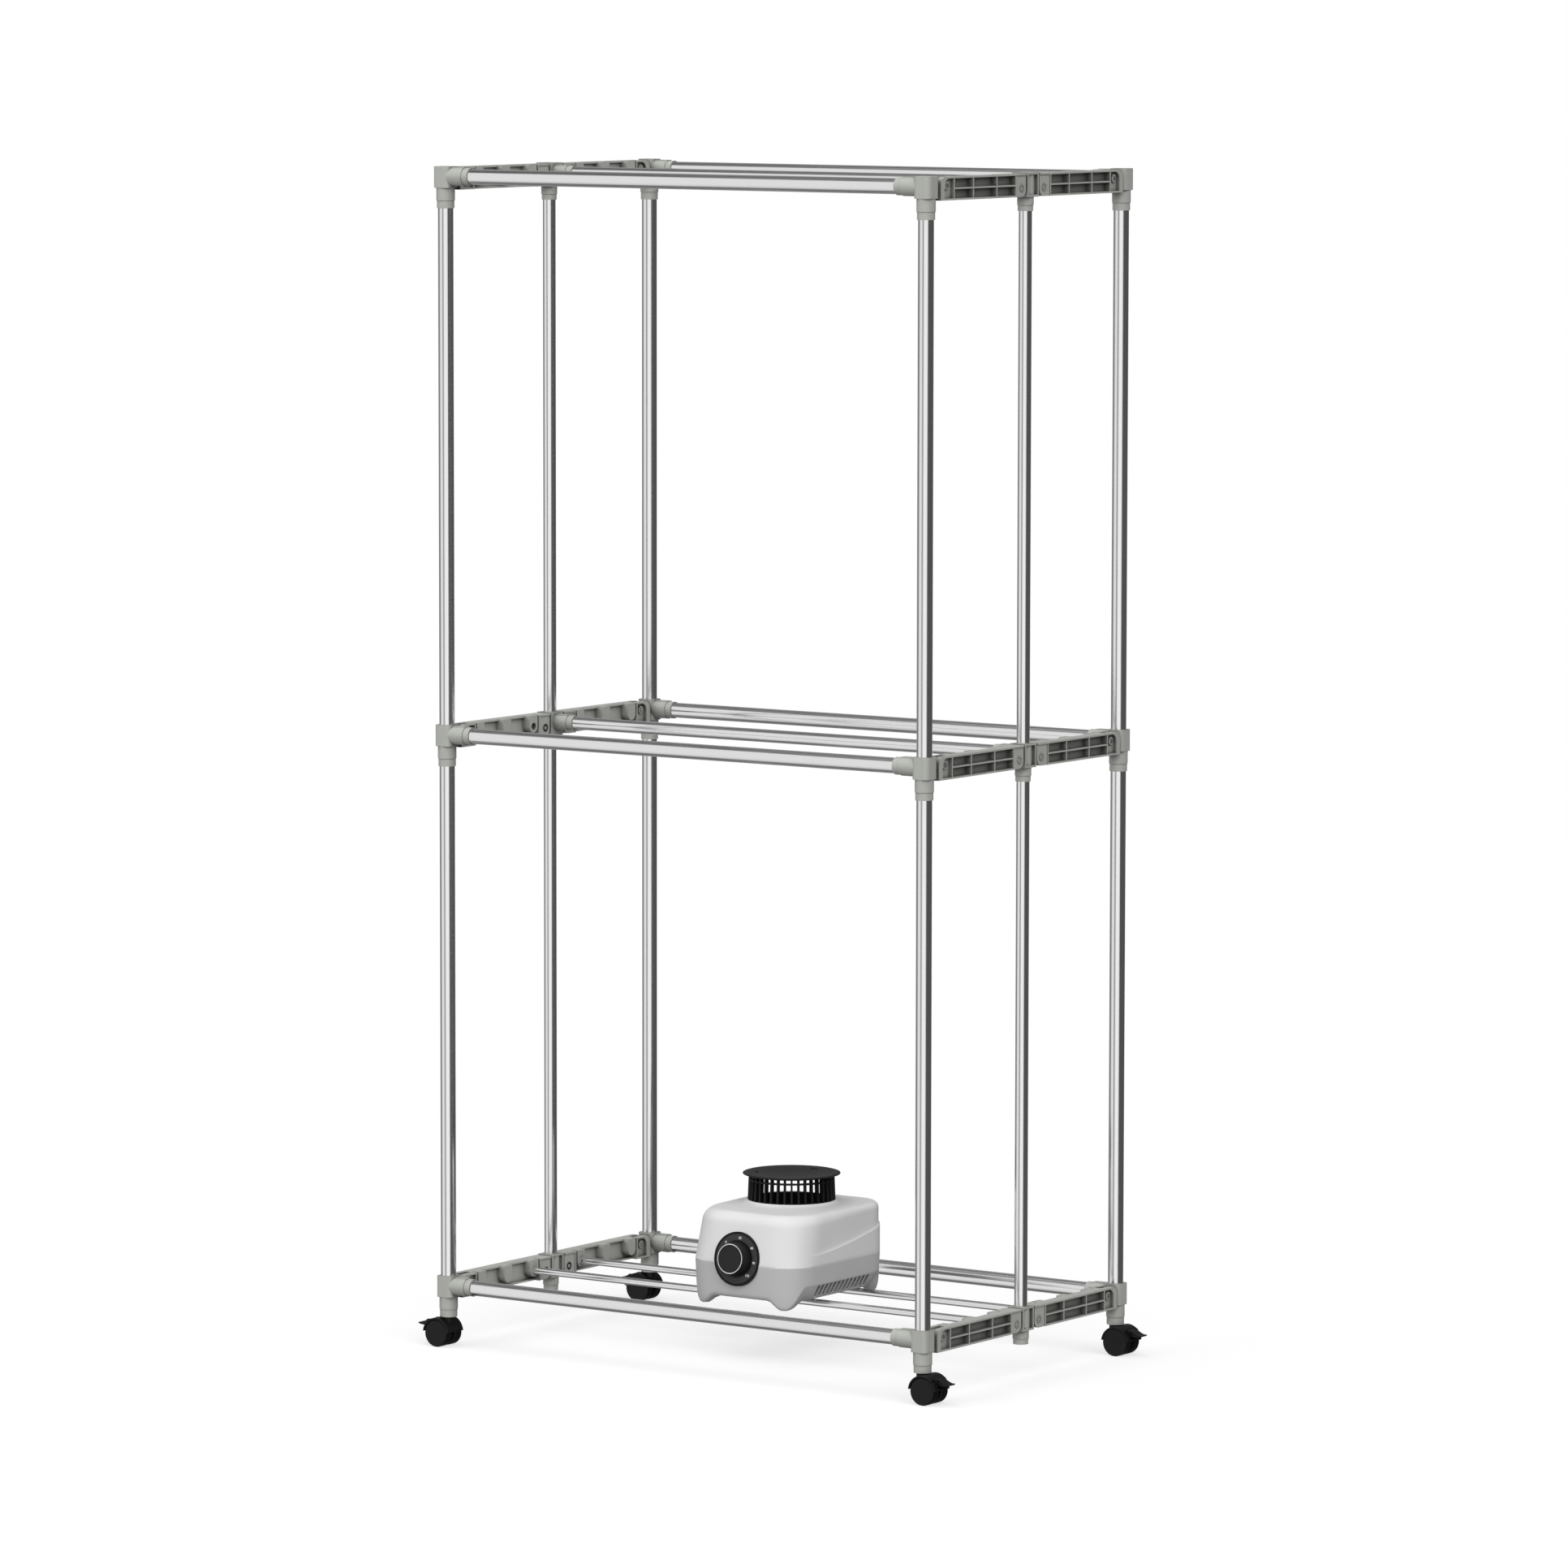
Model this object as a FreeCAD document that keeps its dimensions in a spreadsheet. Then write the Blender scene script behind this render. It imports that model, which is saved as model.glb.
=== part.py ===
import FreeCAD
import Part
import Sketcher

import math
import os
import re

from FreeCAD import Placement, Rotation, Vector

# A folding three-level clothes airer with a fan heater standing on its lowest level.
# Frame: +Z up, origin on the floor under the middle, rails along X, the dial faces -Y.
# Every driving size is here once, in millimetres or degrees, and goes into the sheet.
SIZES = {
    # tubes and levels
    "post_span": 713,
    "frame_depth": 431,
    "level_rise": 691.5,
    "bottom_level": 77,
    "tube_diameter": 19,
    "tube_wall": 1,
    "centre_tube_diameter": 16,
    "rod_diameter": 9,
    "rod_reach": 50,
    "rod_drop": 2,
    "tube_fit": 0.05,
    # corner brackets, heights from the rail axis
    "block_wall": 2.5,
    "block_rounding": 6.5,
    "block_top": 12.5,
    "block_drop": 14,
    "cap_thickness": 3,
    "septum": 2,
    "sleeve_wall": 2,
    "sleeve_drop": 29.5,
    "ring_wall": 1.3,
    "ring_drop": 39,
    "socket_wall": 2,
    "socket_reach": 31,
    "collar_wall": 1.2,
    "collar_reach": 40,
    "ledge_width": 10,
    "tube_stop_wall": 2.4,
    # centre brackets
    "centre_half": 12.5,
    "centre_thickness": 22.4,
    "centre_drop": 17,
    "centre_rim": 2.6,
    "centre_recess": 4.5,
    "centre_sleeve_drop": 27,
    "centre_ring_drop": 34,
    # folding hinges
    "corner_pivot_reach": 31,
    "corner_pivot_rise": 1,
    "centre_pivot_reach": 24.4,
    "centre_pivot_drop": 5.7,
    "tongue_thickness": 8,
    "tongue_radius": 8,
    "tongue_gap": 0.3,
    "slot_margin": 2.5,
    "pin_diameter": 5,
    "pin_hold": 0.02,
    "pin_play": 0.06,
    "pin_sink": 1.2,
    # folding arms, heights from the rail axis
    "arm_thickness": 23,
    "arm_top": 11.4,
    "arm_drop": 16.6,
    "arm_end_gap": 2.4,
    "arm_flange": 2.2,
    "arm_rib": 2,
    "corner_end_rounding": 10,
    "centre_end_rounding": 9.4,
    "centre_bay": 13.9,
    "corner_bay": 12.2,
    "middle_cell": 51,
    "cell_depth": 8.6,
    "web": 2.4,
    "hinge_recess": 3.4,
    "hood_wall": 2.6,
    "boss_diameter": 9.4,
    "boss_sink": 0.4,
    "hood_corner": 4.6,
    "socket_block_width": 16,
    "rod_socket_depth": 10,
    # castors
    "wheel_diameter": 34,
    "wheel_width": 12.5,
    "wheel_rounding": 2,
    "castor_web": 5,
    "castor_gap": 0.8,
    "castor_trail": 9,
    "hood_thickness": 2,
    "hood_edge": 2,
    "axle_diameter": 5,
    "axle_play": 0.06,
    "axle_cover": 2.4,
    "stem_diameter": 10,
    "stem_length": 22,
    "stem_play": 0.06,
    "neck_diameter": 15,
    "neck_gap": 0.3,
    "web_radius": 12,
    "pedal_angle": 41,
    "pedal_lift": 0.7,
    "pedal_length": 19,
    "pedal_width": 15,
    "pedal_thickness": 3.2,
    "pedal_slope": 20,
    "pedal_hub": 2.4,
    "pedal_pin": 3,
    "pedal_ear": 2.4,
    "pedal_ear_radius": 3.2,
    "pedal_notch_drop": 9,
    # heater casing
    "heater_x": 10,
    "heater_width": 174,
    "heater_length": 210,
    "heater_corner": 42,
    "heater_wall": 2.6,
    "heater_rest_gap": 0.3,
    "heater_foot_drop": 11.2,
    "heater_seam": 122,
    "heater_shoulder": 185.5,
    "heater_collar": 191,
    "front_lean": 7.5,
    "side_draft": 2,
    "back_draft": 0.8,
    "front_corner_growth": 8,
    "shoulder_rounding": 14,
    "shoulder_knee": 0.3,
    "ceiling_wall": 4.5,
    "base_draft": 2,
    "base_floor": 3,
    "foot_width": 43,
    "foot_length": 37,
    "front_arch": "=heater_width - 2 * foot_width",
    "side_arch": "=heater_length - 2 * foot_length",
    "arch_slope": 12,
    "cove_width": 14,
    "cove_height": 14,
    "vent_count": 13,
    "vent_pitch": 8.6,
    "vent_width": 3.6,
    "vent_edge": 3.6,
    # air outlet
    "outlet_y": 8,
    "outlet_diameter": 109,
    "outlet_wall": 3,
    "outlet_top": 222,
    "outlet_skirt": 131,
    "collar_width": 6,
    "outlet_fit": 0.2,
    "slot_count": 38,
    "slot_width": 5.4,
    "slot_bottom": 195,
    "slot_middle": 216,
    "slot_ring": 2.4,
    "slot_head": 0.8,
    "cap_diameter": 122,
    "cap_edge": 2,
    "cap_dish": 4,
    "cap_lift": 0.4,
    # dial and timer
    "dial_x": 5.6,
    "dial_z": 129.1,
    "dial_diameter": 67,
    "dial_fit": 0.2,
    "dial_proud": 0.8,
    "dial_thickness": 14,
    "dial_rim": 2.4,
    "dial_rim_height": 0.8,
    "knob_diameter": 41.5,
    "knob_taper": 1.2,
    "knob_length": 14.4,
    "knob_gap": 0.4,
    "knob_ring_width": 1.2,
    "knob_ring_height": 0.5,
    "knob_ring_inset": 1.0,
    "shaft_diameter": 6,
    "shaft_play": 0.06,
    "timer_width": 44,
    "timer_depth": 26,
    # fan, motor, element, cable entry
    "motor_diameter": 44,
    "motor_height": 40,
    "motor_boss": 8,
    "motor_shaft": 4,
    "fan_diameter": 96,
    "fan_height": 16,
    "fan_gap": 3,
    "hub_diameter": 26,
    "blade_count": 7,
    "blade_thickness": 2,
    "blade_pitch": 32,
    "element_level": 160,
    "element_height": 16,
    "element_rim": 3,
    "element_bar": 3,
    "element_bars": 9,
    "element_seat": 3,
    "gland_diameter": 18,
    "gland_reach": 9,
    "gland_depth": 10.4,
    "gland_flange": 5.2,
    "gland_bore": 7,
}

doc = FreeCAD.newDocument("ClothesAirer")
sheet = doc.addObject("Spreadsheet::Sheet", "Sizes")
for row, (alias, size) in enumerate(SIZES.items(), start=1):
    sheet.set(f"A{row}", alias)
    sheet.set(f"B{row}", str(size))
    sheet.setAlias(f"B{row}", alias)
doc.recompute()

probe = doc.addObject("App::FeaturePython", "Probe")
probe.addProperty("App::PropertyFloat", "Reading")
ALIAS_WORD = re.compile(r"\b(" + "|".join(SIZES) + r")\b")
NODES = []

# Places that many pieces share, written in the sheet's names.
POST_X = "post_span / 2"
POST_Y = "frame_depth / 2"
BLOCK_HALF = "(tube_diameter / 2 + block_wall)"
TUBE_BORE = "(tube_diameter / 2 + tube_fit)"
CENTRE_BORE = "(centre_tube_diameter / 2 + tube_fit)"
CORNER_PIVOT_Y = "(frame_depth / 2 - corner_pivot_reach)"
LEVELS = {
    "bottom": "bottom_level",
    "middle": "bottom_level + level_rise",
    "top": "bottom_level + 2 * level_rise",
}
BELLY = "(bottom_level - rod_drop + rod_diameter / 2 + heater_rest_gap)"
AXIS_TURN = {
    "x": Rotation(Vector(0, 1, 0), 90),
    "y": Rotation(Vector(1, 0, 0), -90),
    "z": Rotation(),
}


def size(alias):
    return float(sheet.get(alias))


def reading(expression):
    """The number that an expression of the sheet's names comes to."""
    bind(probe, "Reading", expression)
    probe.recompute()
    return probe.Reading


def bind(obj, prop, expression):
    """Tie a property to the sheet: bare size names become references to its cells."""
    obj.setExpression(prop, ALIAS_WORD.sub(r"Sizes.\1", str(expression)))


def place(obj, x, y, z):
    for axis, expression in zip("xyz", (x, y, z)):
        bind(obj, f".Placement.Base.{axis}", expression)


def box(name, x, y, z):
    """A block between two planes along each axis; every pair is (low, high)."""
    obj = doc.addObject("Part::Box", name)
    for prop, (low, high) in zip(("Length", "Width", "Height"), (x, y, z)):
        bind(obj, prop, f"({high}) - ({low})")
    place(obj, x[0], y[0], z[0])
    return obj


def round_bar(obj, axis, across, low, high):
    """Lay a cylinder or cone along an axis, from low to high, through the point across."""
    bind(obj, "Height", f"({high}) - ({low})")
    obj.Placement = Placement(Vector(), AXIS_TURN[axis])
    centre = list(across)
    centre.insert("xyz".index(axis), low)
    place(obj, *centre)
    return obj


def cylinder(name, axis, across, low, high, radius):
    obj = doc.addObject("Part::Cylinder", name)
    bind(obj, "Radius", radius)
    return round_bar(obj, axis, across, low, high)


def cone(name, axis, across, low, high, low_radius, high_radius):
    obj = doc.addObject("Part::Cone", name)
    bind(obj, "Radius1", low_radius)
    bind(obj, "Radius2", high_radius)
    return round_bar(obj, axis, across, low, high)


def fuse(name, *shapes):
    obj = doc.addObject("Part::MultiFuse", name)
    obj.Shapes = list(shapes)
    obj.Refine = True
    return obj


def cut(name, base, *tools):
    obj = doc.addObject("Part::Cut", name)
    obj.Base = base
    obj.Tool = tools[0] if len(tools) == 1 else fuse(name + "_tools", *tools)
    return obj


def common(name, first, second):
    obj = doc.addObject("Part::Common", name)
    obj.Base = first
    obj.Tool = second
    return obj


def rounded_box(name, x, y, z, radius):
    """A block whose four upright edges are rounded."""
    obj = doc.addObject("Part::Fillet", name)
    obj.Base = box(name + "_blank", x, y, z)
    upright_edges = (1, 3, 5, 7)
    obj.Edges = [(edge, radius, radius) for edge in upright_edges]
    return obj


def mirrored(name, source, normal):
    obj = doc.addObject("Part::Mirroring", name)
    obj.Source = source
    obj.Normal = normal
    return obj


def left_of(source):
    return mirrored(source.Name + "_left", source, Vector(1, 0, 0))


def front_of(source):
    return mirrored(source.Name + "_front", source, Vector(0, 1, 0))


def copy_at(source, name, x="0", y="0", z="0"):
    obj = doc.addObject("App::Link", name)
    obj.LinkedObject = source
    obj.LinkTransform = True
    place(obj, x, y, z)
    return obj


def node(label, *pieces):
    """Collect the solids of one named sub-part."""
    obj = doc.addObject("Part::Compound", label)
    obj.Label = label
    obj.Links = list(pieces)
    NODES.append(obj)
    return obj


def new_body(name):
    return doc.addObject("PartDesign::Body", name)


def new_sketch(body, name, role, offset="0"):
    """A sketch on one of the body's own planes, moved along its normal by offset."""
    obj = body.newObject("Sketcher::SketchObject", name)
    plane = next(part for part in body.Origin.OriginFeatures if part.Role == role)
    obj.AttachmentSupport = [(plane, "")]
    obj.MapMode = "FlatFace"
    bind(obj, ".AttachmentOffset.Base.z", offset)
    return obj


def hold(sketch, kind, *where, to):
    """Add one dimension to a sketch and tie it to the sheet."""
    index = sketch.addConstraint(Sketcher.Constraint(kind, *where))
    bind(sketch, f"Constraints[{index}]", to)


def polygon(sketch, *corners):
    """A closed outline of straight sides; each corner is a pair of expressions."""
    points = [Vector(reading(u), reading(v)) for u, v in corners]
    first = sketch.GeometryCount
    count = len(points)
    for index, (u, v) in enumerate(corners):
        sketch.addGeometry(Part.LineSegment(points[index], points[(index + 1) % count]))
        hold(sketch, "DistanceX", -1, 1, first + index, 1, points[index].x, to=u)
        hold(sketch, "DistanceY", -1, 1, first + index, 1, points[index].y, to=v)
    for index in range(count):
        following = first + (index + 1) % count
        sketch.addConstraint(Sketcher.Constraint("Coincident", first + index, 2, following, 1))


def rectangle(sketch, u, v):
    """A rectangle between two lines along each sketch axis."""
    polygon(sketch, (u[0], v[0]), (u[1], v[0]), (u[1], v[1]), (u[0], v[1]))


def circle(sketch, u, v, radius):
    centre = Vector(reading(u), reading(v))
    index = sketch.addGeometry(Part.Circle(centre, Vector(0, 0, 1), reading(radius)))
    hold(sketch, "DistanceX", -1, 1, index, 3, centre.x, to=u)
    hold(sketch, "DistanceY", -1, 1, index, 3, centre.y, to=v)
    hold(sketch, "Radius", index, reading(radius), to=radius)


def rounded_rectangle(sketch, half_u, half_v, corner, front_corner, middle_v="0"):
    """A rectangle about the u = 0 line; front_corner rounds its two corners at low v."""
    readings = [reading(item) for item in (half_u, half_v, corner, front_corner, middle_v)]
    a, b, r, f, mid = readings
    lines = (
        (Vector(f - a, mid - b), Vector(a - f, mid - b)),
        (Vector(a, mid + f - b), Vector(a, mid + b - r)),
        (Vector(a - r, mid + b), Vector(r - a, mid + b)),
        (Vector(-a, mid + b - r), Vector(-a, mid + f - b)),
    )
    turns = (
        (a - f, mid + f - b, f, -90),
        (a - r, mid + b - r, r, 0),
        (r - a, mid + b - r, r, 90),
        (f - a, mid + f - b, f, 180),
    )
    for side, (u, v, radius, start) in zip(lines, turns):
        sketch.addGeometry(Part.LineSegment(*side))
        round_corner = Part.Circle(Vector(u, v), Vector(0, 0, 1), radius)
        quarter = (math.radians(start), math.radians(start + 90))
        sketch.addGeometry(Part.ArcOfCircle(round_corner, *quarter))
    for index in range(8):
        sketch.addConstraint(Sketcher.Constraint("Tangent", index, 2, (index + 1) % 8, 1))
    for index, kind in ((0, "Horizontal"), (2, "Vertical"), (4, "Horizontal"), (6, "Vertical")):
        sketch.addConstraint(Sketcher.Constraint(kind, index))
    for one, other in ((1, 7), (3, 5)):
        sketch.addConstraint(Sketcher.Constraint("Equal", one, other))
    hold(sketch, "Radius", 1, f, to=front_corner)
    hold(sketch, "Radius", 3, r, to=corner)
    hold(sketch, "DistanceX", -1, 1, 2, 1, a, to=half_u)
    hold(sketch, "DistanceX", -1, 1, 6, 1, -a, to=f"-({half_u})")
    hold(sketch, "DistanceY", -1, 1, 0, 1, mid - b, to=f"({middle_v}) - ({half_v})")
    hold(sketch, "DistanceY", -1, 1, 4, 1, mid + b, to=f"({middle_v}) + ({half_v})")


def extrude(body, kind, sketch, length, both_ways=False, backwards=False):
    """Pad or pocket a sketch by a length; a pocket has to take material away."""
    before = body.Shape.Volume if body.Tip else 0
    feature = body.newObject("PartDesign::" + kind, sketch.Name + "_" + kind.lower())
    feature.Profile = sketch
    bind(feature, "Length", length)
    feature.Midplane = both_ways
    feature.Reversed = backwards
    doc.recompute()
    change = body.Shape.Volume - before
    if (change > 0) != (kind == "Pad"):
        raise RuntimeError(f"{feature.Name} changed the volume by {change:.1f}")
    return feature


def round_edges(body, name, radius, chosen):
    """Round the edges of the body's last feature whose middle point passes the test chosen."""
    base = body.Tip
    names = []
    for index, edge in enumerate(base.Shape.Edges, start=1):
        if chosen(edge, edge.valueAt((edge.FirstParameter + edge.LastParameter) / 2)):
            names.append(f"Edge{index}")
    feature = body.newObject("PartDesign::Fillet", name)
    feature.Base = (base, names)
    bind(feature, "Radius", radius)
    doc.recompute()
    return feature


# Frame tubes
def tube(name, axis, across, low, high, diameter):
    outside = cylinder(name + "_outside", axis, across, low, high, f"{diameter} / 2")
    inside = cylinder(name + "_inside", axis, across, low, high, f"{diameter} / 2 - tube_wall")
    return cut(name, outside, inside)


def post(label, y, diameter, seat_below):
    """A right-hand post of two tubes: one from the bottom to the middle, one on to the top."""
    lower = tube(label + "_lower", "z", (POST_X, y), f"bottom_level - {seat_below}",
                 "bottom_level + level_rise - septum / 2", diameter)
    upper = tube(label + "_upper", "z", (POST_X, y), "bottom_level + level_rise + septum / 2",
                 "bottom_level + 2 * level_rise + block_top - cap_thickness", diameter)
    node(label + "_right", lower, upper)
    node(label + "_left", left_of(lower), left_of(upper))


def rail(label, y, z, diameter):
    end = f"{POST_X} - {diameter} / 2 - tube_stop_wall"
    return node(label, tube(label + "_tube", "x", (y, z), f"-({end})", end, diameter))


BOTTOM_SEAT = "(block_drop - septum)"
post("front_post", f"-{POST_Y}", "tube_diameter", BOTTOM_SEAT)
post("centre_post", "0", "centre_tube_diameter", BOTTOM_SEAT)
post("rear_post", POST_Y, "tube_diameter", BOTTOM_SEAT)
for level, height in LEVELS.items():
    rail(f"front_rail_{level}", f"-{POST_Y}", height, "tube_diameter")
    rail(f"rear_rail_{level}", POST_Y, height, "tube_diameter")
    if level != "bottom":
        rail(f"centre_rail_{level}", "0", height, "centre_tube_diameter")


# Brackets: the post sleeve, the rail socket and the hinge tongue in one moulding
def tongue(name, y, reach, z):
    """A hinge ear from the bracket at y out to the pivot at reach, with its pin hole."""
    towards = f"({y}) + ({reach})"
    plate_ends = (y, towards) if reading(reach) > 0 else (towards, y)
    across = (f"{POST_X} - tongue_thickness / 2", f"{POST_X} + tongue_thickness / 2")
    plate = box(name + "_plate", across, plate_ends, (f"{z} - tongue_radius", f"{z} + tongue_radius"))
    end = cylinder(name + "_end", "x", (towards, z), *across, "tongue_radius")
    hole = cylinder(name + "_hole", "x", (towards, z), *across, "pin_diameter / 2 + pin_hold")
    return (plate, end), hole


def rail_socket(name, y, diameter):
    """The socket that takes a rail's end, with its lip, and the bore that stops the rail."""
    post_radius = f"{diameter} / 2"
    sleeve = cylinder(name + "_sleeve", "x", (y, "0"), f"{POST_X} - socket_reach", POST_X,
                      f"{post_radius} + socket_wall")
    lip = cylinder(name + "_lip", "x", (y, "0"), f"{POST_X} - collar_reach", POST_X,
                   f"{post_radius} + collar_wall")
    ledge = box(name + "_ledge", (f"{POST_X} - socket_reach", POST_X),
                (f"({y}) - ledge_width / 2", f"({y}) + ledge_width / 2"),
                ("0", f"{post_radius} + socket_wall"))
    bore = cylinder(name + "_bore", "x", (y, "0"), f"{POST_X} - collar_reach",
                    f"{POST_X} - {post_radius} - tube_stop_wall", f"{post_radius} + tube_fit")
    return (sleeve, lip, ledge), bore


def post_bores(name, level, y, drop, bore):
    """The holes for the tubes above and below, by level."""
    def hole(suffix, low, high, radius):
        return cylinder(name + suffix, "z", (POST_X, y), low, high, radius)

    if level == "top":
        return [hole("_below", f"-{drop}", "block_top - cap_thickness", bore)]
    if level == "middle":
        below = hole("_below", f"-{drop}", "-septum / 2", bore)
        return [below, hole("_above", "septum / 2", "block_top", bore)]
    return [hole("_above", f"-{BOTTOM_SEAT}", "block_top", bore)]


def corner_bracket(level):
    """The rear right corner bracket of a level, with the rail axis at z = 0."""
    name = f"corner_{level}"
    block = rounded_box(name + "_block", (f"{POST_X} - {BLOCK_HALF}", f"{POST_X} + {BLOCK_HALF}"),
                        (f"{POST_Y} - {BLOCK_HALF}", f"{POST_Y} + {BLOCK_HALF}"),
                        ("-block_drop", "block_top"), size("block_rounding"))
    sleeve = cylinder(name + "_sleeve", "z", (POST_X, POST_Y), "-sleeve_drop", "0",
                      f"{TUBE_BORE} + sleeve_wall")
    ring = cylinder(name + "_ring", "z", (POST_X, POST_Y), "-ring_drop", "0", f"{TUBE_BORE} + ring_wall")
    ear, pin_hole = tongue(name + "_tongue", POST_Y, "-corner_pivot_reach", "corner_pivot_rise")
    socket, rail_bore = rail_socket(name + "_socket", POST_Y, "tube_diameter")
    holes = post_bores(name, level, POST_Y, "ring_drop", TUBE_BORE)
    if level == "bottom":
        holes.append(cylinder(name + "_stem", "z", (POST_X, POST_Y), "-ring_drop",
                              "stem_length - ring_drop", "stem_diameter / 2 + stem_play"))
    solid = fuse(name + "_solid", block, sleeve, ring, *ear, *socket)
    return cut(name, solid, rail_bore, pin_hole, *holes)


def centre_bracket(level):
    """The right centre bracket of a level, with two hinge ears and a recessed outer face."""
    name = f"centre_{level}"
    faces = (f"{POST_X} - centre_thickness / 2", f"{POST_X} + centre_thickness / 2")
    block = box(name + "_block", faces, ("-centre_half", "centre_half"), ("-centre_drop", "block_top"))
    recess = box(name + "_recess", (f"{faces[1]} - centre_recess", faces[1]),
                 ("centre_rim - centre_half", "centre_half - centre_rim"),
                 ("centre_rim - centre_drop", "block_top - centre_rim"))
    sleeve = cylinder(name + "_sleeve", "z", (POST_X, "0"), "-centre_sleeve_drop", "block_top - centre_rim",
                      f"{CENTRE_BORE} + sleeve_wall")
    ring = cylinder(name + "_ring", "z", (POST_X, "0"), "-centre_ring_drop", "0",
                    f"{CENTRE_BORE} + ring_wall")
    rear_ear, rear_hole = tongue(name + "_rear", "0", "centre_pivot_reach", "-centre_pivot_drop")
    front_ear, front_hole = tongue(name + "_front", "0", "-centre_pivot_reach", "-centre_pivot_drop")
    pieces = [cut(name + "_shell", block, recess), sleeve, ring, *rear_ear, *front_ear]
    holes = [rear_hole, front_hole]
    holes += post_bores(name, level, "0", "centre_ring_drop", CENTRE_BORE)
    if level != "bottom":
        socket, rail_bore = rail_socket(name + "_socket", "0", "centre_tube_diameter")
        pieces += socket
        holes.append(rail_bore)
    return cut(name, fuse(name + "_solid", *pieces), *holes)


front_brackets = []
centre_brackets = []
rear_brackets = []
for level, height in LEVELS.items():
    corner = corner_bracket(level)
    middle = centre_bracket(level)
    groups = ((corner, rear_brackets), (front_of(corner), front_brackets), (middle, centre_brackets))
    for bracket, group in groups:
        for side, source in (("right", bracket), ("left", left_of(bracket))):
            group.append(copy_at(source, f"{source.Name}_{side}_at_{level}", z=height))
node("front_brackets", *front_brackets)
node("centre_brackets", *centre_brackets)
node("rear_brackets", *rear_brackets)


# Hinge pins, held in the ears, on which the arms turn
def hinge_pin(name, y, z):
    half = "(arm_thickness / 2 - pin_sink)"
    return cylinder(name, "x", (y, z), f"{POST_X} - {half}", f"{POST_X} + {half}", "pin_diameter / 2")


def pin_group(label, *pins):
    copies = []
    for level, height in LEVELS.items():
        for pin in pins:
            for source in (pin, left_of(pin)):
                copies.append(copy_at(source, f"{source.Name}_{label}_{level}", z=height))
    node(label, *copies)


rear_pin = hinge_pin("rear_pin", CORNER_PIVOT_Y, "corner_pivot_rise")
inner_pin = hinge_pin("inner_pin", "centre_pivot_reach", "-centre_pivot_drop")
pin_group("rear_hinge_pins", rear_pin)
pin_group("front_hinge_pins", front_of(rear_pin))
pin_group("centre_hinge_pins", inner_pin, front_of(inner_pin))


# Folding arms: a ribbed moulding with a slotted hinge end at each post
ARM_IN = "(centre_half + arm_end_gap)"
ARM_OUT = f"(frame_depth / 2 - {BLOCK_HALF} - arm_end_gap)"
FIRST_RIB = "(centre_pivot_reach + centre_bay)"
LAST_RIB = f"({CORNER_PIVOT_Y} - corner_bay)"
ARM_MIDDLE = f"(({FIRST_RIB} + {LAST_RIB}) / 2)"
RIBS = (FIRST_RIB, f"({ARM_MIDDLE} - middle_cell / 2)", f"({ARM_MIDDLE} + middle_cell / 2)", LAST_RIB)
OUTER_FACE = "arm_thickness / 2"
INSIDE_TOP = "arm_top - arm_flange"
INSIDE_BOTTOM = "arm_flange - arm_drop"
HALF_RIB = "arm_rib / 2"
WHOLE = "2 * arm_thickness"
BEYOND = "arm_flange"


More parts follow.
